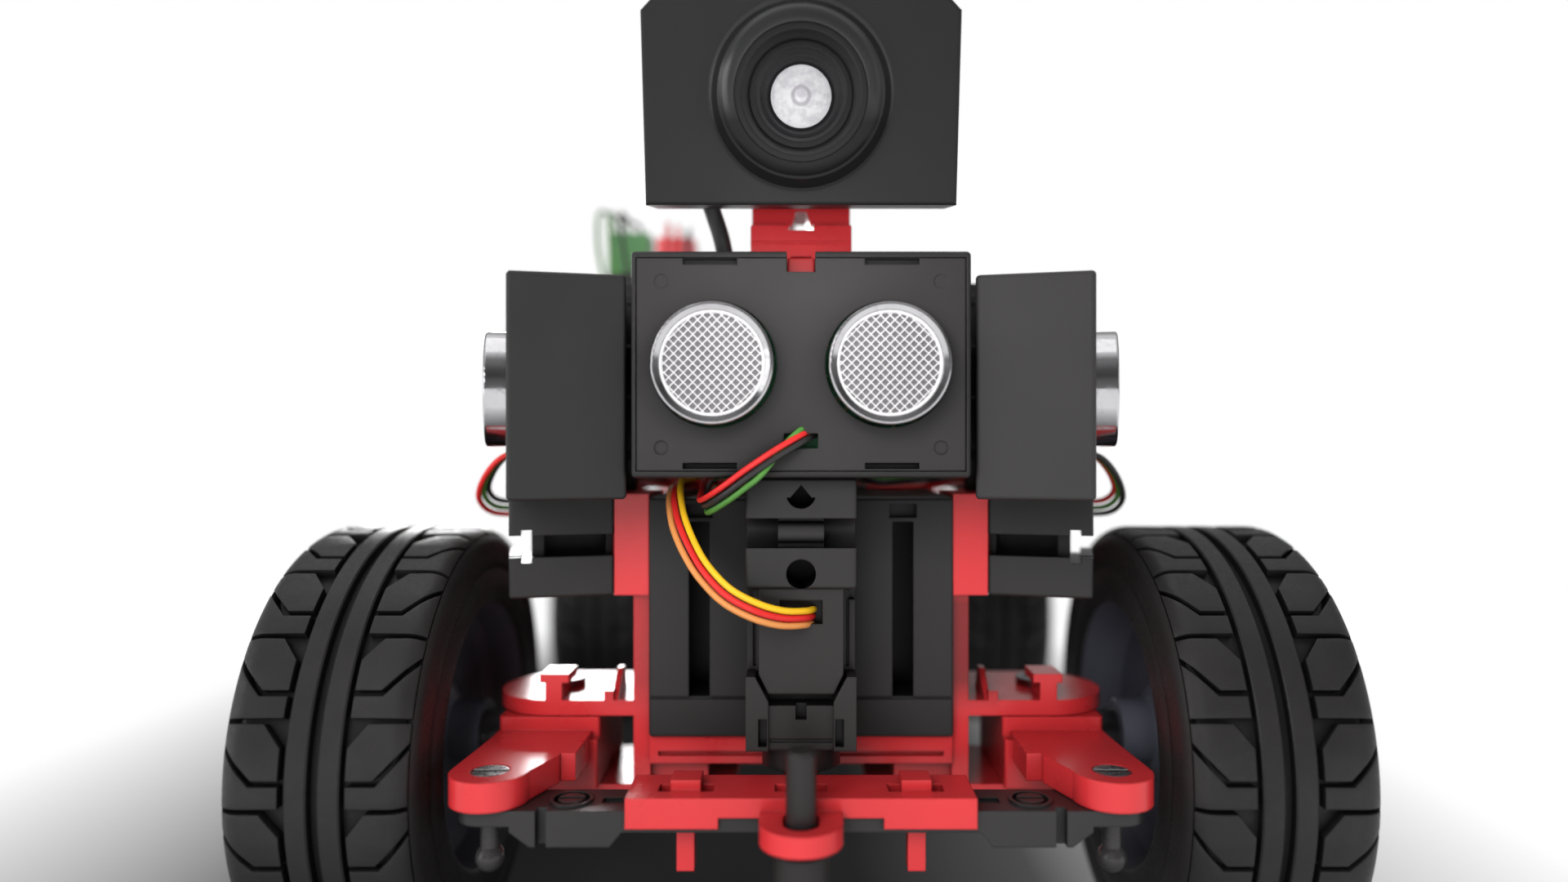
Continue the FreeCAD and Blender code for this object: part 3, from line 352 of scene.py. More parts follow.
tyre_rubber()
green_board()
WIRE_COLORS = {
    "yellow": (0.82, 0.47, 0.015),
    "red": (0.62, 0.02, 0.02),
    "tan": (0.64, 0.25, 0.07),
    "green": (0.065, 0.20, 0.035),
    "black": (0.022, 0.021, 0.021),
}
for wire, wire_color in WIRE_COLORS.items():
    plastic("wire_" + wire, color=wire_color, rough=0.38, grain=0.12, grain_scale=5000.0,
            radius=0.00005, edge=0.05)


# ------------------------------------------------------------------ materials tied to one place
def socket_plugs():
    """Controller plugs: red left of the middle, pale beyond the case sides, else green."""
    shader = Shader("socket_plugs")
    place = shader.axes(shader.coord)
    is_red = shader.multiply(shader.remap(place["X"], (-0.0320, -0.0315)),
                             shader.remap(place["X"], (0.0, 0.001), to=(1.0, 0.0)))
    is_pale = shader.calc("ADD", shader.remap(place["X"], (-0.0425, -0.0424), to=(1.0, 0.0)),
                          shader.remap(place["X"], (0.0424, 0.0425)))
    blot = shader.noise(scale=500.0)
    green = shader.mix(blot, (0.07, 0.20, 0.075, 1), (0.12, 0.30, 0.12, 1))
    red = shader.mix(blot, (0.60, 0.10, 0.11, 1), (0.74, 0.16, 0.17, 1))
    pale = shader.mix(blot, (0.60, 0.58, 0.52, 1), (0.75, 0.73, 0.68, 1))
    dark_foot = shader.multiply(shader.calc("SUBTRACT", 1.0, is_pale),
                                shader.remap(place["Z"], (0.1148, 0.1156), to=(1.0, 0.0)))
    tone = shader.mix(dark_foot, shader.mix(is_red, green, red), (0.030, 0.029, 0.030, 1))
    shader.surface({
        "Base Color": shader.mix(is_pale, tone, pale),
        "Roughness": 0.4,
        "Normal": shader.bump(blot, strength=0.2, distance=0.00004,
                              Normal=shader.rounded(0.0003)),
    })


def tie_pin():
    """Black stem below z = 35 mm, bright steel above."""
    shader = Shader("pin_and_ball_stem")
    is_steel = shader.remap(shader.axes(shader.geometry("Position"))["Z"], (0.03505, 0.0352))
    line = shader.noise(scale=1400.0, rough=0.6, stretch=(1, 1, 6))
    stem = shader.mix(line, (0.024, 0.0225, 0.0225, 1), (0.036, 0.034, 0.034, 1))
    steel = shader.mix(line, (0.80, 0.80, 0.81, 1), (0.95, 0.95, 0.95, 1))
    shader.surface({
        "Base Color": shader.mix(is_steel, stem, steel),
        "Metallic": is_steel,
        "Roughness": shader.remap(line, NOISE, to=(0.22, 0.36)),
        "Normal": shader.bump(line, strength=0.1, distance=0.00002,
                              Normal=shader.rounded(0.0002)),
    })


def around_lens(shader, axis_height):
    """Height above the lens axis and distance from it, in mm, seen from the front."""
    place = shader.axes(shader.coord)
    across = shader.multiply(place["X"], 1000.0)
    above = shader.multiply(shader.calc("SUBTRACT", place["Z"], axis_height), 1000.0)
    return above, shader.hypot(across, above)


def camera_front():
    """Camera front with a glossy ring round the lens, its shoulder rounded by bump."""
    shader = Shader("camera_front")
    above, distance = around_lens(shader, axis_height=LENS_Z * MM)
    ring = shader.multiply(shader.remap(distance, (12.1, 12.4), to=(1.0, 0.0)),
                           shader.remap(distance, (8.2, 8.5)))
    # the shoulder is a circular arc: 7.3 is its squared radius, 2.25 the widest reach
    beyond = shader.calc("MAXIMUM", shader.calc("SUBTRACT", distance, 8.5), 0.0)
    beyond = shader.calc("MINIMUM", beyond, 2.25)
    shoulder = shader.calc("SQRT", shader.calc("SUBTRACT", 7.3, shader.multiply(beyond, beyond)))
    body = shader.mix(shader.noise(scale=70.0), (0.0140, 0.0138, 0.0140, 1),
                      (0.0175, 0.0172, 0.0174, 1))
    sheen = shader.multiply(ring, shader.remap(above, (-4.0, 3.0)))
    grain = shader.noise(scale=2600.0, detail=2.0, rough=0.6)
    shoulder_normal = shader.bump(shoulder, strength=1.0, distance=0.001,
                                  Normal=shader.rounded(0.0003))
    shader.surface({
        "Base Color": shader.mix(ring, body, (0.0090, 0.0090, 0.0092, 1)),
        "Roughness": shader.remap(ring, (0.0, 1.0), to=(0.42, 0.24)),
        "Specular IOR Level": shader.remap(sheen, (0.0, 1.0), to=(0.20, 1.0)),
        "Coat Weight": sheen,
        "Coat Roughness": 0.25,
        "Normal": shader.bump(grain, strength=0.14, distance=0.00004, Normal=shoulder_normal),
    })


def lens_glass():
    """Coated lens glass whose pale colour is a painted reflection of the white studio, with a
    darker ring, core and rim.
    """
    shader = Shader("lens_glass.001")
    above, distance = around_lens(shader, axis_height=(CAMERA_FRAME @ Vector((0, 0.5, 0))).z * MM)
    ring = shader.multiply(shader.remap(distance, (0.75, 0.95)),
                           shader.remap(distance, (1.25, 1.45), to=(1.0, 0.0)))
    core = shader.remap(shader.calc("SUBTRACT", distance, shader.multiply(above, 0.5)),
                        (0.45, 0.60), to=(1.0, 0.0))
    rim = shader.remap(distance, (3.5, 4.05), to=(0.0, 0.55))
    # painted reflection: pale grey with darker arcs in place of the white studio mirrored in the
    # glass
    painted_reflection = shader.mix(shader.remap(shader.noise(scale=900.0), (0.4, 0.6)),
                      (0.36, 0.355, 0.37, 1), (0.46, 0.455, 0.47, 1))
    painted_reflection = shader.mix(shader.multiply(ring, 0.8), painted_reflection, (0.22, 0.21, 0.23, 1))
    painted_reflection = shader.mix(shader.multiply(core, 0.6), painted_reflection, (0.30, 0.29, 0.32, 1))
    shader.surface({
        "Base Color": shader.mix(rim, painted_reflection, (0.35, 0.34, 0.37, 1)),
        "Roughness": 0.12,
        "Coat Weight": 1.0,
        "Coat Roughness": 0.02,
    })


def floor_white():
    """Glowing white floor with a painted shadow: it fades to black in a rounded patch under the
    car.
    """
    shader = Shader("floor_white")
    place = shader.axes(shader.coord)

    def outside(distance, half):
        past = shader.calc("SUBTRACT", shader.calc("ABSOLUTE", distance), half)
        return shader.calc("MAXIMUM", past, 0.0)

    # painted shadow: darkness by distance out from a rounded patch under the car, a little lighter
    # to the right
    away = shader.hypot(outside(shader.calc("ADD", place["X"], 0.018), half=0.060),
                        outside(place["Y"], half=0.085))
    uneven = shader.calc("ADD", away, shader.multiply(shader.noise(scale=9.0), 0.004))
    shadow_level = shader.remap(uneven, (0.002, 0.112), to=(0.012, 1.0))
    right_shadow_lift = shader.remap(place["X"], (0.01, 0.05), to=(0.0, 0.07))
    shadow_level = shader.calc("MINIMUM", shader.calc("ADD", shadow_level, right_shadow_lift), 1.0)
    shade = shader.mix(shadow_level, (0.0, 0.0, 0.0, 1), (1.0, 1.0, 1.0, 1))
    glow = shader.node("ShaderNodeEmission", Strength=1.0, Color=shade)
    shader.feed(shader.tree.nodes["Material Output"].inputs["Surface"], glow.outputs[0])
    shader.tree.nodes.remove(shader.bsdf)


socket_plugs()
tie_pin()
camera_front()
lens_glass()
floor_white()

CAD_MATERIALS = {
    "red_moulded": "base_frame steering_bridge left_knuckle right_knuckle angle_blocks "
                   "camera_post rear_deck rear_bumper",
    "black_moulded": "column_block centre_block side_blocks chassis_beam battery_case gearboxes",
    "black_servo": "servo_body servo_collar servo_horn",
    "black_steering_rod": "tie_rod",
    "black_sensor_shell": "front_sensor_shell left_sensor_shell",
    "black_sensor_shell_lit_right": "right_sensor_shell",
    "black_sensor_face": "front_sensor_faceplate left_sensor_faceplate right_sensor_faceplate",
    "dark_pin_steel": "king_pins left_stub_axle right_stub_axle",
    "pin_and_ball_stem": "left_tie_pin right_tie_pin",
    "turned_steel": "left_hub_nut right_hub_nut left_drive_shaft right_drive_shaft "
                    "camera_hinge_pin cover_screws",
    "bright_can": "sensor_transducers",
    "zinc_motor_can": "motor_cans",
    "camera_front": "camera_front_shell",
    "black_camera_body": "camera_back_shell",
    "black_focus_ring": "camera_focus_ring",
    "lens_barrel": "camera_lens",
    "green_board": "camera_board sensor_boards controller_board",
    "dark_controller_base": "controller_case",
    "grey_controller": "controller_cover",
    "screen_glass": "controller_screen",
    "red_button": "power_button",
    "blue_battery_wrap": "battery_pack",
    "socket_plugs": "controller_plugs",
    "blue_grey_rim": "front_left_rim front_right_rim rear_left_rim rear_right_rim",
    "tyre_rubber": "front_left_tyre front_right_tyre rear_left_tyre rear_right_tyre",
    "wire_black": "cable_loom camera_cable",
}
MATERIAL_OF = {part: name for name, parts in CAD_MATERIALS.items() for part in parts.split()}
for part_name, cad_part in cad_parts.items():
    cad_part.data.materials.clear()
    cad_part.data.materials.append(MATERIALS[MATERIAL_OF[part_name]])


# ------------------------------------------------------------------ mesh helpers
def make(name, bm, materials, sharp=35.0):
    """Object from a bmesh, smooth but for edges over sharp degrees."""
    mesh = bpy.data.meshes.new(name)
    bmesh.ops.recalc_face_normals(bm, faces=bm.faces)
    bm.to_mesh(mesh)
    bm.free()
    for material in materials:
        mesh.materials.append(MATERIALS[material])
    mesh.polygons.foreach_set("use_smooth", [True] * len(mesh.polygons))
    mesh.set_sharp_from_angle(angle=math.radians(sharp))
    made = bpy.data.objects.new(name, mesh)
    bpy.context.scene.collection.objects.link(made)
    return made


def add_part(name, bm, materials, sharp, body="chassis"):
    """Object that rides on a body of the car and belongs to a material slot."""
    made = make(name, bm, materials, sharp)
    if body:
        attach(made, body)
    return made


def place(bm, matrix):
    """Moves a mesh by a matrix whose lengths are in mm."""
    bmesh.ops.transform(bm, matrix=Matrix.Scale(MM, 4) @ matrix @ Matrix.Scale(1000, 4),
                        verts=bm.verts)


def lathe(bm, profile, segments, centre, axis="x", mat=0, sign=1):
    """Closed ring of (along, radius) points turned about the x or y axis through centre."""
    rings = []
    for i in range(segments):
        angle = 2 * math.pi * i / segments
        row = []
        for along, radius in profile:
            cosine, sine = radius * math.cos(angle), radius * math.sin(angle)
            if axis == "x":
                offset = (sign * along, cosine, sine)
            else:
                offset = (cosine, along, sine)
            row.append(bm.verts.new(Vector([c + d for c, d in zip(centre, offset)]) * MM))
        rings.append(row)
    count = len(profile)
    for i in range(segments):
        here, there = rings[i], rings[(i + 1) % segments]
        for j in range(count):
            k = (j + 1) % count
            bm.faces.new((here[j], here[k], there[k], there[j])).material_index = mat


def tangents(points):
    last = len(points) - 1
    return [(points[min(i + 1, last)] - points[max(i - 1, 0)]).normalized()
            for i in range(last + 1)]


def tube(bm, points, radius, sides, mat=0, cap=True):
    """Round tube through points, with frames carried along it."""
    points = [Vector(point) for point in points]
    along = tangents(points)
    up = Vector((0, 0, 1)) if abs(along[0].z) < 0.9 else Vector((1, 0, 0))
    side = along[0].cross(up).normalized()
    rings = []
    for point, tangent in zip(points, along):
        side = (side - tangent * side.dot(tangent)).normalized()
        other = tangent.cross(side)
        ring = []
        for j in range(sides):
            angle = 2 * math.pi * j / sides
            out = side * math.cos(angle) + other * math.sin(angle)
            ring.append(bm.verts.new((point + out * radius) * MM))
        rings.append(ring)
    for here, there in zip(rings, rings[1:]):
        for j in range(sides):
            k = (j + 1) % sides
            bm.faces.new((here[j], here[k], there[k], there[j])).material_index = mat
    if cap:
        bm.faces.new(list(reversed(rings[0]))).material_index = mat
        bm.faces.new(rings[-1]).material_index = mat


def spline(points, steps):
    """Smooth curve through points (Catmull-Rom)."""
    p = [Vector(point) for point in points]
    p = [p[0] * 2 - p[1]] + p + [p[-1] * 2 - p[-2]]
    curve = []
    for i in range(1, len(p) - 2):
        a, b, c, d = p[i - 1:i + 3]
        for step in range(steps):
            t = step / steps
            curve.append(0.5 * ((2 * b) + (c - a) * t + (2 * a - 5 * b + 4 * c - d) * t * t
                                + (3 * b - a - 3 * c + d) * t ** 3))
    curve.append(p[-2])
    return curve


def box(bm, x, y, z, bevel, segments=1, mat=0):
    """Box with rounded edges; x, y and z are (from, to) pairs, x in either order."""
    spans = (sorted(x), y, z)
    verts = bmesh.ops.create_cube(bm, size=1.0)["verts"]
    bmesh.ops.scale(bm, vec=Vector([high - low for low, high in spans]) * MM, verts=verts)
    bmesh.ops.translate(bm, vec=Vector([(low + high) / 2 for low, high in spans]) * MM,
                        verts=verts)
    edges = list({edge for vert in verts for edge in vert.link_edges})
    result = bmesh.ops.bevel(bm, geom=edges, offset=bevel * MM, segments=segments, profile=0.5,
                             affect="EDGES")
    faces = set(result["faces"])
    for vert in result["verts"]:
        faces.update(vert.link_faces)
    for face in faces:
        face.material_index = mat


def from_front(points):
    """Shifts points given from the front axle to the car's frame."""
    return [(x, y + FRONT_Y, z) for x, y, z in points]


# ------------------------------------------------------------------ tyres
HALF = 12.8                        # half the tyre's width
SHOULDER = 3.4                     # radius of the rounded shoulder
FLAT = HALF - SHOULDER
SHOULDER_ANGLE = 0.86              # how far round the shoulder the tread reaches
CARCASS_R = TYRE_R - 1.45          # floor of the grooves
SHOULDER_FLOOR = SHOULDER - 1.45
SEGMENTS = 144

BLOCK_COUNT = 18
BLOCK_DEPTH = 1.7
PITCH = 2 * math.pi * TYRE_R / BLOCK_COUNT
PHASE = 0.03                       # turn of the whole tread
TREAD_IN = 4.3
TREAD_OUT = FLAT + SHOULDER * SHOULDER_ANGLE
TREAD_W = TREAD_OUT - TREAD_IN
GAP = 0.36
SPLIT, SLANT = 0.69 * PITCH, 0.27 * PITCH    # where two blocks part, inner and outer end
# the two blocks of one pitch: (along the tread, across from the middle)
OUTLINES = (
    [(GAP, TREAD_IN + 0.30 * TREAD_W), (0.30 * PITCH, TREAD_IN), (SPLIT - GAP, TREAD_IN),
     (SPLIT - GAP, TREAD_IN + 0.43 * TREAD_W), (SLANT - GAP * 0.9, TREAD_OUT),
     (GAP * 0.8, TREAD_OUT)],
    [(SPLIT + GAP, TREAD_IN), (PITCH - GAP, TREAD_IN), (PITCH - GAP * 0.8, TREAD_OUT),
     (SLANT + GAP * 1.5, TREAD_OUT), (SPLIT + GAP, TREAD_IN + 0.47 * TREAD_W)],
)
# outer wall from shoulder to bead: (across from the middle, radius)
SIDEWALL = [
    (HALF - 0.05, 28.0), (HALF, 27.2), (HALF, 26.2), (HALF - 0.12, 26.0), (HALF - 0.12, 25.6),
    (HALF, 25.4), (HALF, 22.6), (HALF - 0.06, 21.4), (HALF - 0.22, 20.7), (HALF - 0.45, 20.35),
    (HALF - 0.74, 20.3), (HALF - 0.76, 22.05), (HALF - 2.4, 22.05),
]
# rib beside the middle groove: (across from the middle, radius)
RIB = [(0.70, CARCASS_R - 0.4), (0.70, TYRE_R - 0.2), (0.90, TYRE_R), (3.35, TYRE_R),
       (3.55, TYRE_R - 0.2), (3.55, CARCASS_R - 0.4)]


def shoulder_point(angle, radius):
    return FLAT + radius * math.sin(angle), TYRE_R - SHOULDER + radius * math.cos(angle)


def tread_point(along, across, height):
    """Wraps an unrolled tread point; gives (across, radius, angle round the wheel)."""
    if across <= FLAT:
        x, radius = across, TYRE_R + height
    else:
        x, radius = shoulder_point((across - FLAT) / SHOULDER, SHOULDER + height)
    return x, radius, along / TYRE_R


def cut(bm, at, normal):
    bmesh.ops.bisect_plane(bm, geom=bm.verts[:] + bm.edges[:] + bm.faces[:], plane_co=at,
                           plane_no=normal, dist=1e-5)


def block_mesh(outline, step_along=1.1, step_across=0.7):
    """Tread block on the unrolled tread: bevelled prism, cut finely enough to bend."""
    bm = bmesh.new()
    top = bm.faces.new([bm.verts.new((along, across, 0.0)) for along, across in outline])
    for item in bmesh.ops.extrude_face_region(bm, geom=[top])["geom"]:
        if isinstance(item, bmesh.types.BMVert):
            item.co.z = -BLOCK_DEPTH
    bmesh.ops.recalc_face_normals(bm, faces=bm.faces)
    edges = [edge for edge in bm.edges if all(abs(vert.co.z) < 1e-6 for vert in edge.verts)]
    bmesh.ops.bevel(bm, geom=edges, offset=0.22, segments=2, profile=0.6, affect="EDGES")
    alongs = [vert.co.x for vert in bm.verts]
    widest = max(vert.co.y for vert in bm.verts)
    k = math.floor(min(alongs) / step_along) + 1
    while k * step_along < max(alongs):
        cut(bm, (k * step_along, 0, 0), (1, 0, 0))
        k += 1
    across = FLAT
    while across < widest:
        cut(bm, (0, across, 0), (0, 1, 0))
        across += step_across
    bmesh.ops.triangulate(bm, faces=[face for face in bm.faces if len(face.verts) > 4])
    bm.verts.index_update()
    verts = [vert.co.copy() for vert in bm.verts]
    faces = [[vert.index for vert in face.verts] for face in bm.faces]
    bm.free()
    return verts, faces


BLOCKS = [block_mesh(outline) for outline in OUTLINES]


def carcass_profile():
    half = [shoulder_point(SHOULDER_ANGLE * i / 7, SHOULDER_FLOOR) for i in range(1, 8)]
    half += [shoulder_point(angle, SHOULDER - 0.12)
             for angle in (0.90, 1.05, 1.2, 1.38, math.pi / 2)]
    half += SIDEWALL
    mirrored = [(-x, radius) for x, radius in reversed(half)]
    return [(-FLAT, CARCASS_R), (FLAT, CARCASS_R)] + half + mirrored


def add_blocks(bm, verts, faces, centre, side, turn):
    cx, cy, cz = centre
    made = []
    for vert in verts:
        x, radius, angle = tread_point(*vert)
        # the tread runs downwards on the face that looks to the nose
        angle = math.pi + (angle + turn + PHASE)
        made.append(bm.verts.new(Vector((cx + side * x, cy + radius * math.cos(angle),
                                         cz + radius * math.sin(angle))) * MM))
    for face in faces:
        bm.faces.new([made[i] for i in face])


def build_tyre(end, side_name, sx, axle_y, out):
    bm = bmesh.new()
    centre = (sx * out, axle_y, AXLE_Z)
    lathe(bm, carcass_profile(), SEGMENTS, centre, sign=sx)
    for side in (-1, 1):
        lathe(bm, [(side * x, radius) for x, radius in RIB], SEGMENTS, centre)
    for side in (-1, 1):
        for verts, faces in BLOCKS:
            for k in range(BLOCK_COUNT):
                add_blocks(bm, verts, faces, centre, side, turn=k * 2 * math.pi / BLOCK_COUNT)
    corner = "%s_%s" % (end, side_name)
    tyre = add_part(corner + "_tyre_tread", bm, ["tyre_rubber"], sharp=32,
                    body=corner + "_wheel")
    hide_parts(corner + "_tyre")


for end, axle_y, out in (("front", FRONT_Y, FRONT_X), ("rear", REAR_Y, REAR_X)):
    for sx, side_name in ((-1, "left"), (1, "right")):
        build_tyre(end, side_name, sx, axle_y, out)


# ------------------------------------------------------------------ sensor grilles
SIDE_X, SIDE_Z = 22.5, 70.9        # half width and base height of a side sensor
CAN_X, CAN_Z = 11.55, 15.0         # middle of a can in its sensor
GRILLE_R = 6.50
WIRE_PITCH = 0.88
WIRE_R = 0.080
WIRE_WAVE = 0.07
# (along y, radius); the cans open towards -y
GRILLE_RIM = [(-2.10, 6.46), (-2.45, 6.56), (-2.55, 6.70), (-2.50, 6.86), (-1.3, 6.86),
              (-1.3, 6.46)]
GRILLE_BACK = [(-1.84, 0.02), (-1.90, 2.0), (-1.94, 4.5), (-1.92, 6.6), (-1.22, 6.6),
               (-1.22, 0.02)]


def sensor_matrix(which):
    """Sensor frame (x across, y into the box, z up from its base) to the car's frame, in mm."""
    if which == "front":
        return Matrix.Translation((0, -27.5 + FRONT_Y, 73.8))
    left = (Matrix.Translation((-38.2, -30.1 + FRONT_Y, 0))
            @ Matrix.Rotation(math.radians(-75), 4, "Z")
            @ Matrix.Translation((-SIDE_X, 0, SIDE_Z)))
    if which == "right":
        return Matrix.Scale(-1, 4, (1, 0, 0)) @ left
    return left


def woven_wires(bm, can_x):
    """Two crossing sets of diagonal wires that wave over and under each other."""
    for lean in (1, -1):
        ex, ez = math.sqrt(0.5), math.sqrt(0.5) * lean
        for k in range(-8, 9):
            offset = k * WIRE_PITCH
            if abs(offset) >= GRILLE_R - 0.1:
                continue
            half = math.sqrt(GRILLE_R * GRILLE_R - offset * offset)
            steps = max(4, int(2 * half / (WIRE_PITCH / 2)))
            points = []
            for i in range(steps + 1):
                u = -half + 2 * half * i / steps
                wave = math.cos(math.pi * (u / WIRE_PITCH + k)) * WIRE_WAVE * lean
                points.append((can_x + u * ex - offset * ez, -2.32 + wave,
                               CAN_Z + u * ez + offset * ex))
            tube(bm, points, WIRE_R, sides=6, cap=False)


for which in ("front", "left", "right"):
    bm = bmesh.new()
    for sx in (-1, 1):
        can = (sx * CAN_X, 0, CAN_Z)
        lathe(bm, GRILLE_RIM, 72, can, axis="y")
        lathe(bm, GRILLE_BACK, 48, can, axis="y", mat=1)
        woven_wires(bm, can[0])
    place(bm, sensor_matrix(which))
    if which == "right":
        # mirroring turned the faces inside out
        bmesh.ops.reverse_faces(bm, faces=bm.faces)
    add_part(which + "_sensor_mesh", bm, ["bright_wire_mesh", "grille_back"],
             sharp=40)


# ------------------------------------------------------------------ ribbon cables
def ribbon(name, path, wires, gap=0.86, radius=0.42, body="chassis", normal=(0, 0, 1), fan=0.0,
           cross=None):
    """Thin wires side by side along one path, spread by fan in the middle.

    cross is (wire, start, end): that wire starts beyond the other side of the row and dives
    under the others between the two fractions of the path.
    """
    points = spline(path, 12)
    along = tangents(points)
    side = along[0].cross(Vector(normal))
    side = side.normalized() if side.length > 1e-3 else Vector((1, 0, 0))
    frames = []
    for tangent in along:
        side = (side - tangent * side.dot(tangent)).normalized()
        frames.append((side.copy(), tangent.cross(side)))
    bm = bmesh.new()
    for k in range(len(wires)):
        offset = (k - (len(wires) - 1) / 2) * gap
        line = []
        for i, point in enumerate(points):
            t = i / (len(points) - 1)
            lift = 0.12 * math.sin(7.0 * t * math.pi + k * 2.1) * math.sin(math.pi * t)
            spread = offset * (1 + fan * math.sin(math.pi * t))
            if cross and k == cross[0]:
                done = min(max((t - cross[1]) / (cross[2] - cross[1]), 0.0), 1.0)
                done = done * done * (3 - 2 * done)
                spread = spread * done - 1.8 * gap * (1 - done)
                lift = lift - 1.0 * math.sin(math.pi * done)
            across, up = frames[i]
            line.append(point + across * spread + up * lift)
        tube(bm, line, radius, sides=10, mat=k)
    return add_part(name, bm, ["wire_" + wire for wire in wires], sharp=60, body=body)


# cable paths, (x, y from the front axle, z)
SERVO_PATH = [
    (1.6, -22.9, 54.8), (0.4, -25.6, 55.0), (-2.6, -27.8, 55.4), (-6.1, -28.6, 56.5),
    (-9.9, -27.8, 58.4), (-13.1, -25.8, 61.3), (-15.3, -23.4, 64.3), (-17.0, -20.6, 67.4),
    (-17.9, -17.8, 70.4), (-18.2, -13.6, 72.2), (-18.3, -8.0, 72.3), (-17.8, 0.0, 72.2),
    (-16.8, 12.0, 72.6), (-16.5, 21.0, 74.5), (-16.5, 24.6, 76.5),
]
FRONT_SENSOR_PATH = [
    (2.2, -24.0, 79.6), (0.4, -27.6, 78.7), (-2.8, -29.2, 76.8), (-6.5, -29.4, 74.3),
    (-9.9, -28.0, 71.8), (-12.4, -25.2, 70.2), (-13.5, -21.4, 69.8), (-13.6, -17.0, 70.9),
    (-13.6, -12.0, 72.2), (-13.5, -6.0, 72.4), (-13.2, 0.0, 72.3), (-12.6, 12.0, 72.6),
    (-12.0, 21.0, 74.5), (-12.0, 24.6, 76.5),
]
CAMERA_PATH = [
    (-14.6, -12.4, 118.0), (-14.2, -10.6, 116.0), (-13.1, -9.4, 112.6), (-11.7, -8.6, 108.0),
    (-10.8, -6.4, 101.0), (-11.6, -2.0, 92.0), (-12.6, 4.0, 83.0), (-11.6, 11.0, 79.0),
    (-8.0, 18.0, 78.0), (-6.0, 24.6, 78.5),
]
# left sensor's cable: near the sensor (x from its near edge, y into the box, z), then the rest
LEFT_SENSOR_START = [
    (-21.6, 3.0, 77.0), (-22.6, -0.6, 76.4), (-24.4, -3.0, 73.8), (-27.4, -4.0, 70.6),
    (-31.0, -2.4, 68.4), (-33.6, 1.4, 67.9), (-34.0, 7.0, 68.1), (-32.8, 12.6, 68.7),
]
LEFT_SENSOR_REST = [
    (-29.0, 14.4, 71.2), (-25.0, 12.0, 72.6), (-20.5, 4.0, 73.2), (-13.0, -3.0, 73.0),
    (-9.6, 2.0, 73.8), (-12.6, 12.0, 74.4), (-19.0, 20.0, 75.4), (-22.0, 24.6, 76.5),
]

servo_cable = ribbon("servo_cable_wires", from_front(SERVO_PATH), ["yellow", "red", "tan"],
                     normal=(0, 1, 0), fan=0.12, radius=0.46, gap=0.95)
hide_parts("cable_loom")
ribbon("front_sensor_wires", from_front(FRONT_SENSOR_PATH), ["red", "black", "green"],
       normal=(0, 1, 0), fan=0.2, radius=0.40, gap=0.84, cross=(2, 0.06, 0.24))

left_path = [tuple(sensor_matrix("left") @ Vector((x + SIDE_X, y, z - SIDE_Z)))
             for x, y, z in LEFT_SENSOR_START] + from_front(LEFT_SENSOR_REST)
right_path = [(-x, y, z) for x, y, z in left_path]
for side_name, path in (("left", left_path), ("right", right_path)):
    ribbon(side_name + "_sensor_wires", path, ["red", "green", "black"], fan=0.3)

camera_cable = ribbon("camera_cable_sheath", from_front(CAMERA_PATH), ["black"], body=None,
                      radius=1.3)
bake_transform(camera_cable)
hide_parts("camera_cable")


# ------------------------------------------------------------------ lens glass
GLASS_RADII = (0.02, 0.6, 1.2, 1.8, 2.4, 3.0, 3.6, 4.05)
GLASS_BACK = 2.2

bm = bmesh.new()
# 81.6 is the squared radius of the dome, 9.4 the place of its centre behind the front
dome = [(9.4 - math.sqrt(81.6 - radius * radius), radius) for radius in GLASS_RADII]
lathe(bm, dome + [(GLASS_BACK, GLASS_RADII[-1]), (GLASS_BACK, GLASS_RADII[0])], 48, (0, 0, 0),
      axis="y")
place(bm, CAMERA_FRAME)
add_part("lens_front_glass", bm, ["lens_glass.001"], sharp=40, body="camera_head")


# ------------------------------------------------------------------ controller sockets
CASE_X = 42.5                      # half the controller's width
BAY_Y, BAY_PITCH = 41.0, 17        # first bay from the front axle, and the step to the next
WALL = 0.75
PIN_HALF = 0.32
LOWER_ROW = ((0.25, 8.75), (75.25, 80.75))     # y from the bay, z
UPPER_ROW = ((-0.75, 8.25), (88.75, 95.75))
PLUGGED = {(-1, 0), (1, 1)}        # (side, bay) of the upper row filled by a plug


def socket(bm, sx, y, z):
    """Open box facing outwards with three contacts in a row."""
    (y0, y1), (z0, z1) = y, z
    outer, inner = sx * (CASE_X - 0.5), sx * (CASE_X - 9.0)
    x = (outer, inner)
    box(bm, x, y, (z0, z0 + WALL), bevel=0.12)
    box(bm, x, y, (z1 - WALL, z1), bevel=0.12)
    box(bm, x, (y0, y0 + WALL), z, bevel=0.12)
    box(bm, x, (y1 - WALL, y1), z, bevel=0.12)
    box(bm, (sx * (CASE_X - 8.6), inner), y, z, bevel=0.1)
    middle = (z0 + z1) / 2
    for k in range(3):
        pin_y = y0 + (y1 - y0) * (k + 1) / 4
        box(bm, (sx * (CASE_X - 8.8), sx * (CASE_X - 3.0)), (pin_y - PIN_HALF, pin_y + PIN_HALF),
            (middle - PIN_HALF, middle + PIN_HALF), bevel=0.12, mat=1)


bm = bmesh.new()
for sx in (-1, 1):
    for bay in range(4):
        bay_y = BAY_Y + bay * BAY_PITCH + FRONT_Y
        for row in (LOWER_ROW, UPPER_ROW):
            if row is LOWER_ROW or (sx, bay) not in PLUGGED:
                (near, far), z = row
                socket(bm, sx, (bay_y + near, bay_y + far), z)
add_part("controller_sockets", bm, ["white_socket", "contact_gold"],
         sharp=30)

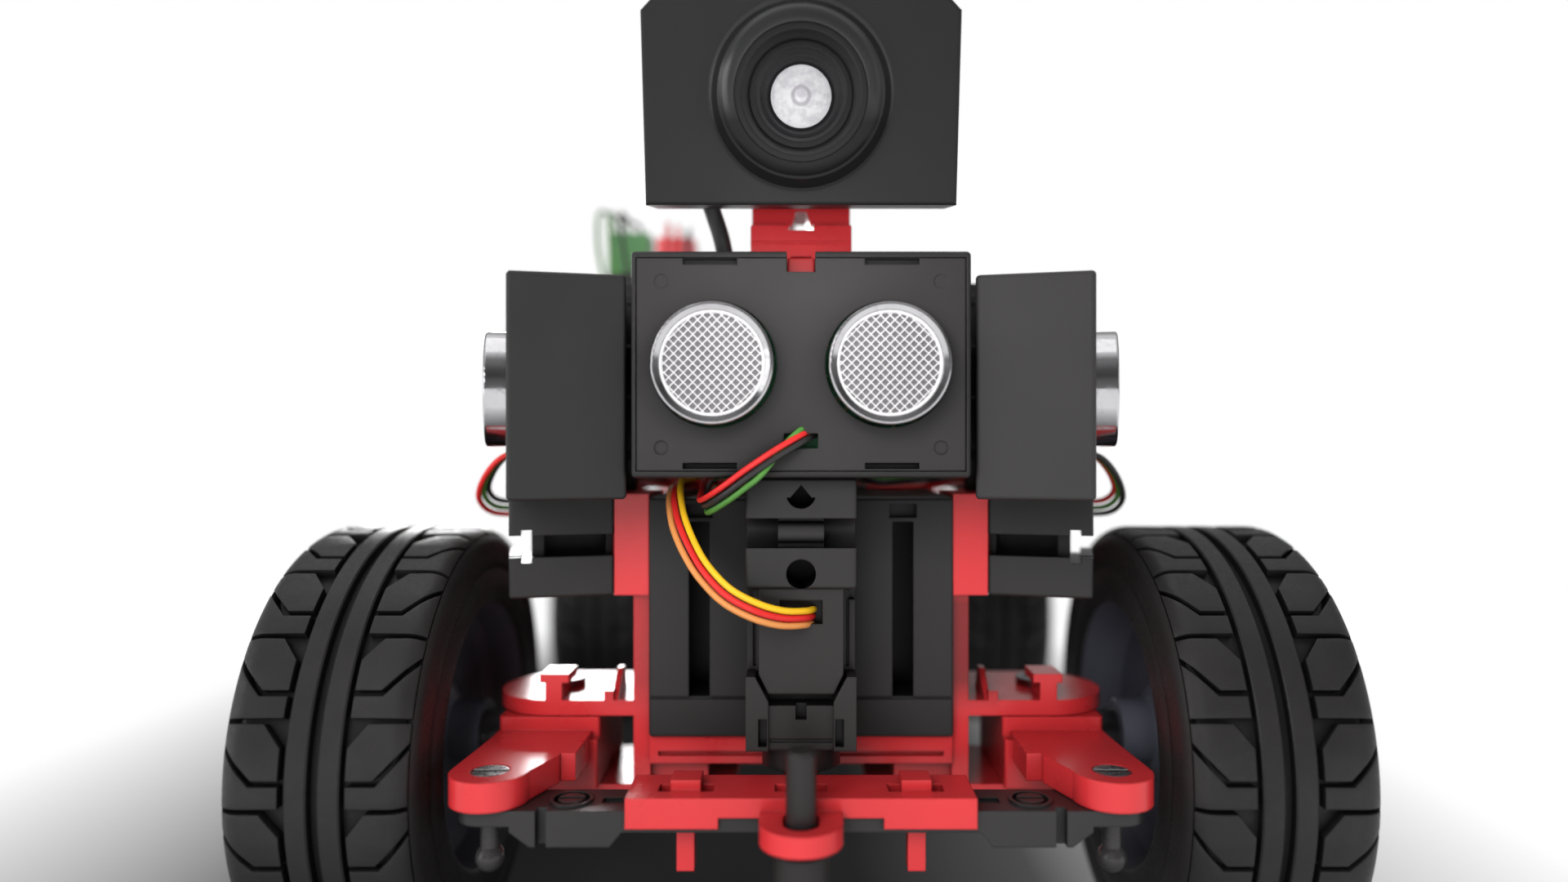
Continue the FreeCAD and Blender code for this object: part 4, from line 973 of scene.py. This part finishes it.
# ribs that stand on the wedge blocks in the gaps beside the front sensor
bm = bmesh.new()
for sx in (-1, 1):
    x0, x1 = sorted((sx * 25.8, sx * 28.6))
    box(bm, (x0, x1), (-3.0 + FRONT_Y, -0.6 + FRONT_Y), (70.92, 103.4), bevel=0.3, segments=2)
    for z in (76.0, 84.0, 92.0, 100.0):
        box(bm, (x0 + 0.4, x1 - 0.4), (-3.3 + FRONT_Y, -2.6 + FRONT_Y), (z, z + 1.6), bevel=0.15)
add_part("sensor_gap_ribs", bm, ["black_moulded"], sharp=30)


# ------------------------------------------------------------------ single leads
def strands(name, leads, radius=0.42):
    """Separate wires; leads holds (colour, points from the front axle)."""
    bm = bmesh.new()
    colors = []
    for color, points in leads:
        if color not in colors:
            colors.append(color)
        tube(bm, spline(from_front(points), 10), radius, sides=8, mat=colors.index(color))
    add_part(name, bm, ["wire_" + color for color in colors], sharp=60)


# leads that cross the top of the steering column under the other cables
leads = []
for sx, colors in ((-1, ("red", "black", "red")), (1, ("red", "black"))):
    for k, color in enumerate(colors):
        dy, dx = 1.0 * k, 0.8 * k
        leads.append((color, [
            (sx * (29.6 - dx), 17.2 + dy, 70.9), (sx * (27.6 - dx), 12.8 + dy, 71.45 + 0.4 * k),
            (sx * 23.5, 7.4 + dy, 71.5 + 0.45 * k), (sx * 18.0, 5.4 + dy, 71.1),
            (sx * (12.0 - dx), 7.6 + dy, 70.95), (sx * (9.4 - dx), 14.0, 71.1),
            (sx * (9.0 - dx), 24.9, 71.9)]))
strands("column_top_leads", leads)

# leads of the two plugs on the lid
leads = []
for k, color in enumerate(("green", "green", "black")):
    x = -40.4 + 2.6 * k
    leads.append((color, [
        (x, 60.0 + k, 122.5), (x - 0.6, 59.6 + k, 126.0), (x - 2.0, 57.0, 128.2 - k),
        (x - 2.6, 52.0 - k, 126.2), (x - 1.6, 47.5, 118.0), (x + 0.4, 46.6 + k, 109.0),
        (x + 1.2, 48.4 + k, 102.2)]))
for k, color in enumerate(("red", "red", "black")):
    x = -28.6 + 2.2 * k
    leads.append((color, [
        (x, 54.0, 120.5), (x + 0.3, 53.4, 123.2), (x + 0.6, 50.6, 124.4 - 0.6 * k),
        (x + 0.8, 47.0, 121.0), (x + 0.4, 44.8, 113.0), (x, 44.4, 106.0), (x, 46.6, 102.0)]))
strands("lid_plug_leads", leads)

# leads of the two plugs in the side sockets
leads = []
for sx, y in ((-1, 46.0), (1, 63.0)):
    for k, color in enumerate(("red", "green", "black")):
        dy = (k - 1) * 1.6
        leads.append((color, [
            (sx * 50.5, y + dy, 92.3), (sx * 53.2, y + dy, 92.0),
            (sx * 55.4, y + dy - 1.0, 88.0), (sx * 54.6, y - 4 + dy, 80.0),
            (sx * 49.0, y - 9 + dy, 73.4), (sx * 42.0, y - 16 + dy, 68.8),
            (sx * 33.0, y - 22 + dy, 66.6), (sx * 17.2, y - 24 + dy, 66.2)]))
strands("side_plug_leads", leads)

# motor terminals and their twisted pairs up to the controller
MOTOR_X, TERMINAL_DZ = 20.0, 4.2
bm = bmesh.new()
for sx in (-1, 1):
    x = sx * MOTOR_X
    for dz in (-TERMINAL_DZ, TERMINAL_DZ):
        box(bm, (x - 1.3, x + 1.3), (76.9 + FRONT_Y, 79.6 + FRONT_Y),
            (AXLE_Z + dz - 0.25, AXLE_Z + dz + 0.25), bevel=0.1)
    box(bm, (x - 3.2, x + 3.2), (78.0 + FRONT_Y, 78.7 + FRONT_Y), (27.4, 37.6), bevel=0.2,
        segments=2, mat=1)
add_part("motor_terminals", bm, ["contact_gold", "orange_element"], sharp=30)

leads = []
for sx in (-1, 1):
    for k, (color, dz) in enumerate((("red", TERMINAL_DZ), ("black", -TERMINAL_DZ))):
        points = [(sx * MOTOR_X, 77.2, AXLE_Z + dz), (sx * 20.4, 75.2, 33.5 + dz),
                  (sx * 22.0, 74.6, 42.0 + dz * 0.4)]
        for j in range(5):
            angle = math.pi * j + math.pi * k
            points.append((sx * (23.0 + 0.45 * math.cos(angle) + 0.6 * j),
                           75.4 + 0.2 * j + 0.45 * math.sin(angle + 0.6), 47.5 + 4.4 * j))
        points.append((sx * 26.0, 76.6, 69.0))
        leads.append((color, points))
strands("motor_leads", leads, radius=0.5)

leads = []
for k, color in enumerate(("red", "black")):
    leads.append((color, [
        (17.0 + 3 * k, 70.5, 50.6), (17.6 + 3 * k, 72.6, 52.6), (18.6 + 3 * k, 74.8, 56.4),
        (19.4 + 2 * k, 73.6, 62.0), (19.6 + 2 * k, 72.0, 69.4)]))
strands("battery_leads", leads, radius=0.6)

# plain bars on the screen: (length, material)
bm = bmesh.new()
for i, (length, mat) in enumerate(((26, 0), (18, 1), (22, 1), (12, 0))):
    box(bm, (-13.0, -13.0 + length), (51.0 + 6 * i + FRONT_Y, 53.2 + 6 * i + FRONT_Y),
        (100.86, 100.95), bevel=0.03, mat=mat)
add_part("screen_bars", bm, ["screen_pale", "screen_blue"], sharp=30)


# ------------------------------------------------------------------ floor and world
bm = bmesh.new()
bmesh.ops.create_grid(bm, x_segments=2, y_segments=2, size=3.0)
make("studio_floor", bm, ["floor_white"])


def grey_ramp(nodes, direction, stops):
    """Grey along a direction from -1 to 1; stops are (place from 0 to 1, grey)."""
    ramp = nodes.node("ShaderNodeValToRGB")
    elements = ramp.color_ramp.elements
    while len(elements) < len(stops):
        elements.new(0.5)
    for element, (position, grey) in zip(elements, stops):
        element.position = position
        element.color = (grey, grey, grey, 1)
    nodes.feed(ramp.inputs[0], nodes.remap(direction, (-1.0, 1.0)))
    return ramp.outputs[0]


def build_world():
    """White to the camera; separate light for mirrored rays and for all others."""
    world = bpy.data.worlds.new("studio")
    world.use_nodes = True
    world.node_tree.nodes.clear()
    nodes = Nodes(world.node_tree)
    way = nodes.axes(nodes.node("ShaderNodeTexCoord").outputs["Generated"])
    # mirrored: grey studio behind the camera, bright sides and back, bands above
    depth = grey_ramp(nodes, way["Y"], [(0.0, 0.18), (0.10, 0.22), (0.25, 0.26), (0.36, 0.95),
                                        (0.45, 0.95), (1.0, 1.0)])
    bands = grey_ramp(nodes, way["Z"], [(0.0, 0.55), (0.47, 0.60), (0.52, 1.0), (0.62, 0.75),
                                        (0.70, 0.35), (0.80, 0.45), (0.90, 0.95), (1.0, 0.9)])
    sides = grey_ramp(nodes, way["X"], [(0.0, 1.0), (0.2, 0.9), (0.5, 0.9), (0.8, 0.75),
                                        (1.0, 0.6)])
    gloss = nodes.multiply(depth, bands, sides)
    # fill: a faint base, most from above, a little more from the left
    above = nodes.calc("MAXIMUM", way["Z"], 0.0)
    left = nodes.calc("MAXIMUM", nodes.multiply(way["X"], -1.0), 0.0)
    fill = nodes.calc("ADD", 0.08, nodes.multiply(above, 0.18))
    fill = nodes.calc("ADD", fill, nodes.multiply(left, 0.06))
    ray = nodes.node("ShaderNodeLightPath").outputs
    pick = nodes.node("ShaderNodeMix", data_type="FLOAT")
    for index, value in ((0, ray["Is Glossy Ray"]), (2, fill), (3, gloss)):
        nodes.feed(pick.inputs[index], value)
    lit = nodes.node("ShaderNodeBackground", Strength=1.0, Color=pick.outputs[0])
    plain = nodes.node("ShaderNodeBackground", Strength=1.0, Color=(1, 1, 1, 1))
    shown = nodes.node("ShaderNodeMixShader")
    for socket_in, value in zip(shown.inputs,
                                (ray["Is Camera Ray"], lit.outputs[0], plain.outputs[0])):
        nodes.feed(socket_in, value)
    nodes.feed(nodes.node("ShaderNodeOutputWorld").inputs[0], shown.outputs[0])
    return world


bpy.context.scene.world = build_world()
bpy.context.scene.view_settings.view_transform = "Standard"


# ------------------------------------------------------------------ lights and view
def area(name, at, to, size, power, size_y=None, shiny=True):
    """Area light aimed at a point; shiny ones show in reflections."""
    data = bpy.data.lights.new(name, "AREA")
    data.energy = power
    data.size = size
    if size_y:
        data.shape = "RECTANGLE"
        data.size_y = size_y
    light = bpy.data.objects.new(name, data)
    bpy.context.scene.collection.objects.link(light)
    light.location = at
    light.rotation_euler = (Vector(to) - Vector(at)).to_track_quat("-Z", "Y").to_euler()
    light.visible_camera = False
    light.visible_glossy = shiny


area("key", at=(-0.14, -0.47, 0.27), to=(0, -0.08, 0.05), size=0.28, power=1.75, shiny=False)
area("left", at=(-0.55, -0.30, 0.20), to=(0, -0.06, 0.06), size=0.35, power=0.55)
area("right", at=(0.42, -0.40, 0.12), to=(0.03, -0.07, 0.075), size=0.20, power=0.55, shiny=False)
area("top", at=(-0.1, 0.0, 0.7), to=(0, 0, 0.05), size=0.5, power=0.45)
area("eye", at=(-0.06, -0.46, 0.025), to=(0, -0.08, 0.075), size=0.14, power=0.56, shiny=False)
area("post_fill", at=(0.0, -0.118, 0.100), to=(0, -0.08, 0.102), size=0.012, power=0.006,
     shiny=False)
area("graze", at=(-0.30, 0.85, 0.30), to=(-0.03, -0.07, 0.05), size=0.35, power=6.0, size_y=0.25)

VIEW_Z = 0.0787
focus = bpy.data.objects.new("focus_point", None)
view_data = bpy.data.cameras.new("view")
view_data.lens = 22.8
view_data.sensor_width = 36
view_data.shift_x = -0.0109
view_data.clip_start = 0.01
view_data.dof.use_dof = True
focus.location = (0.0, -0.0865, VIEW_Z)
bpy.context.scene.collection.objects.link(focus)
view_data.dof.focus_object = focus
view_data.dof.aperture_fstop = 5.0
view = bpy.data.objects.new("view", view_data)
bpy.context.scene.collection.objects.link(view)
view.location = (0.0, -0.2225, VIEW_Z)
view.rotation_euler = (math.radians(90), 0, 0)
bpy.context.scene.camera = view
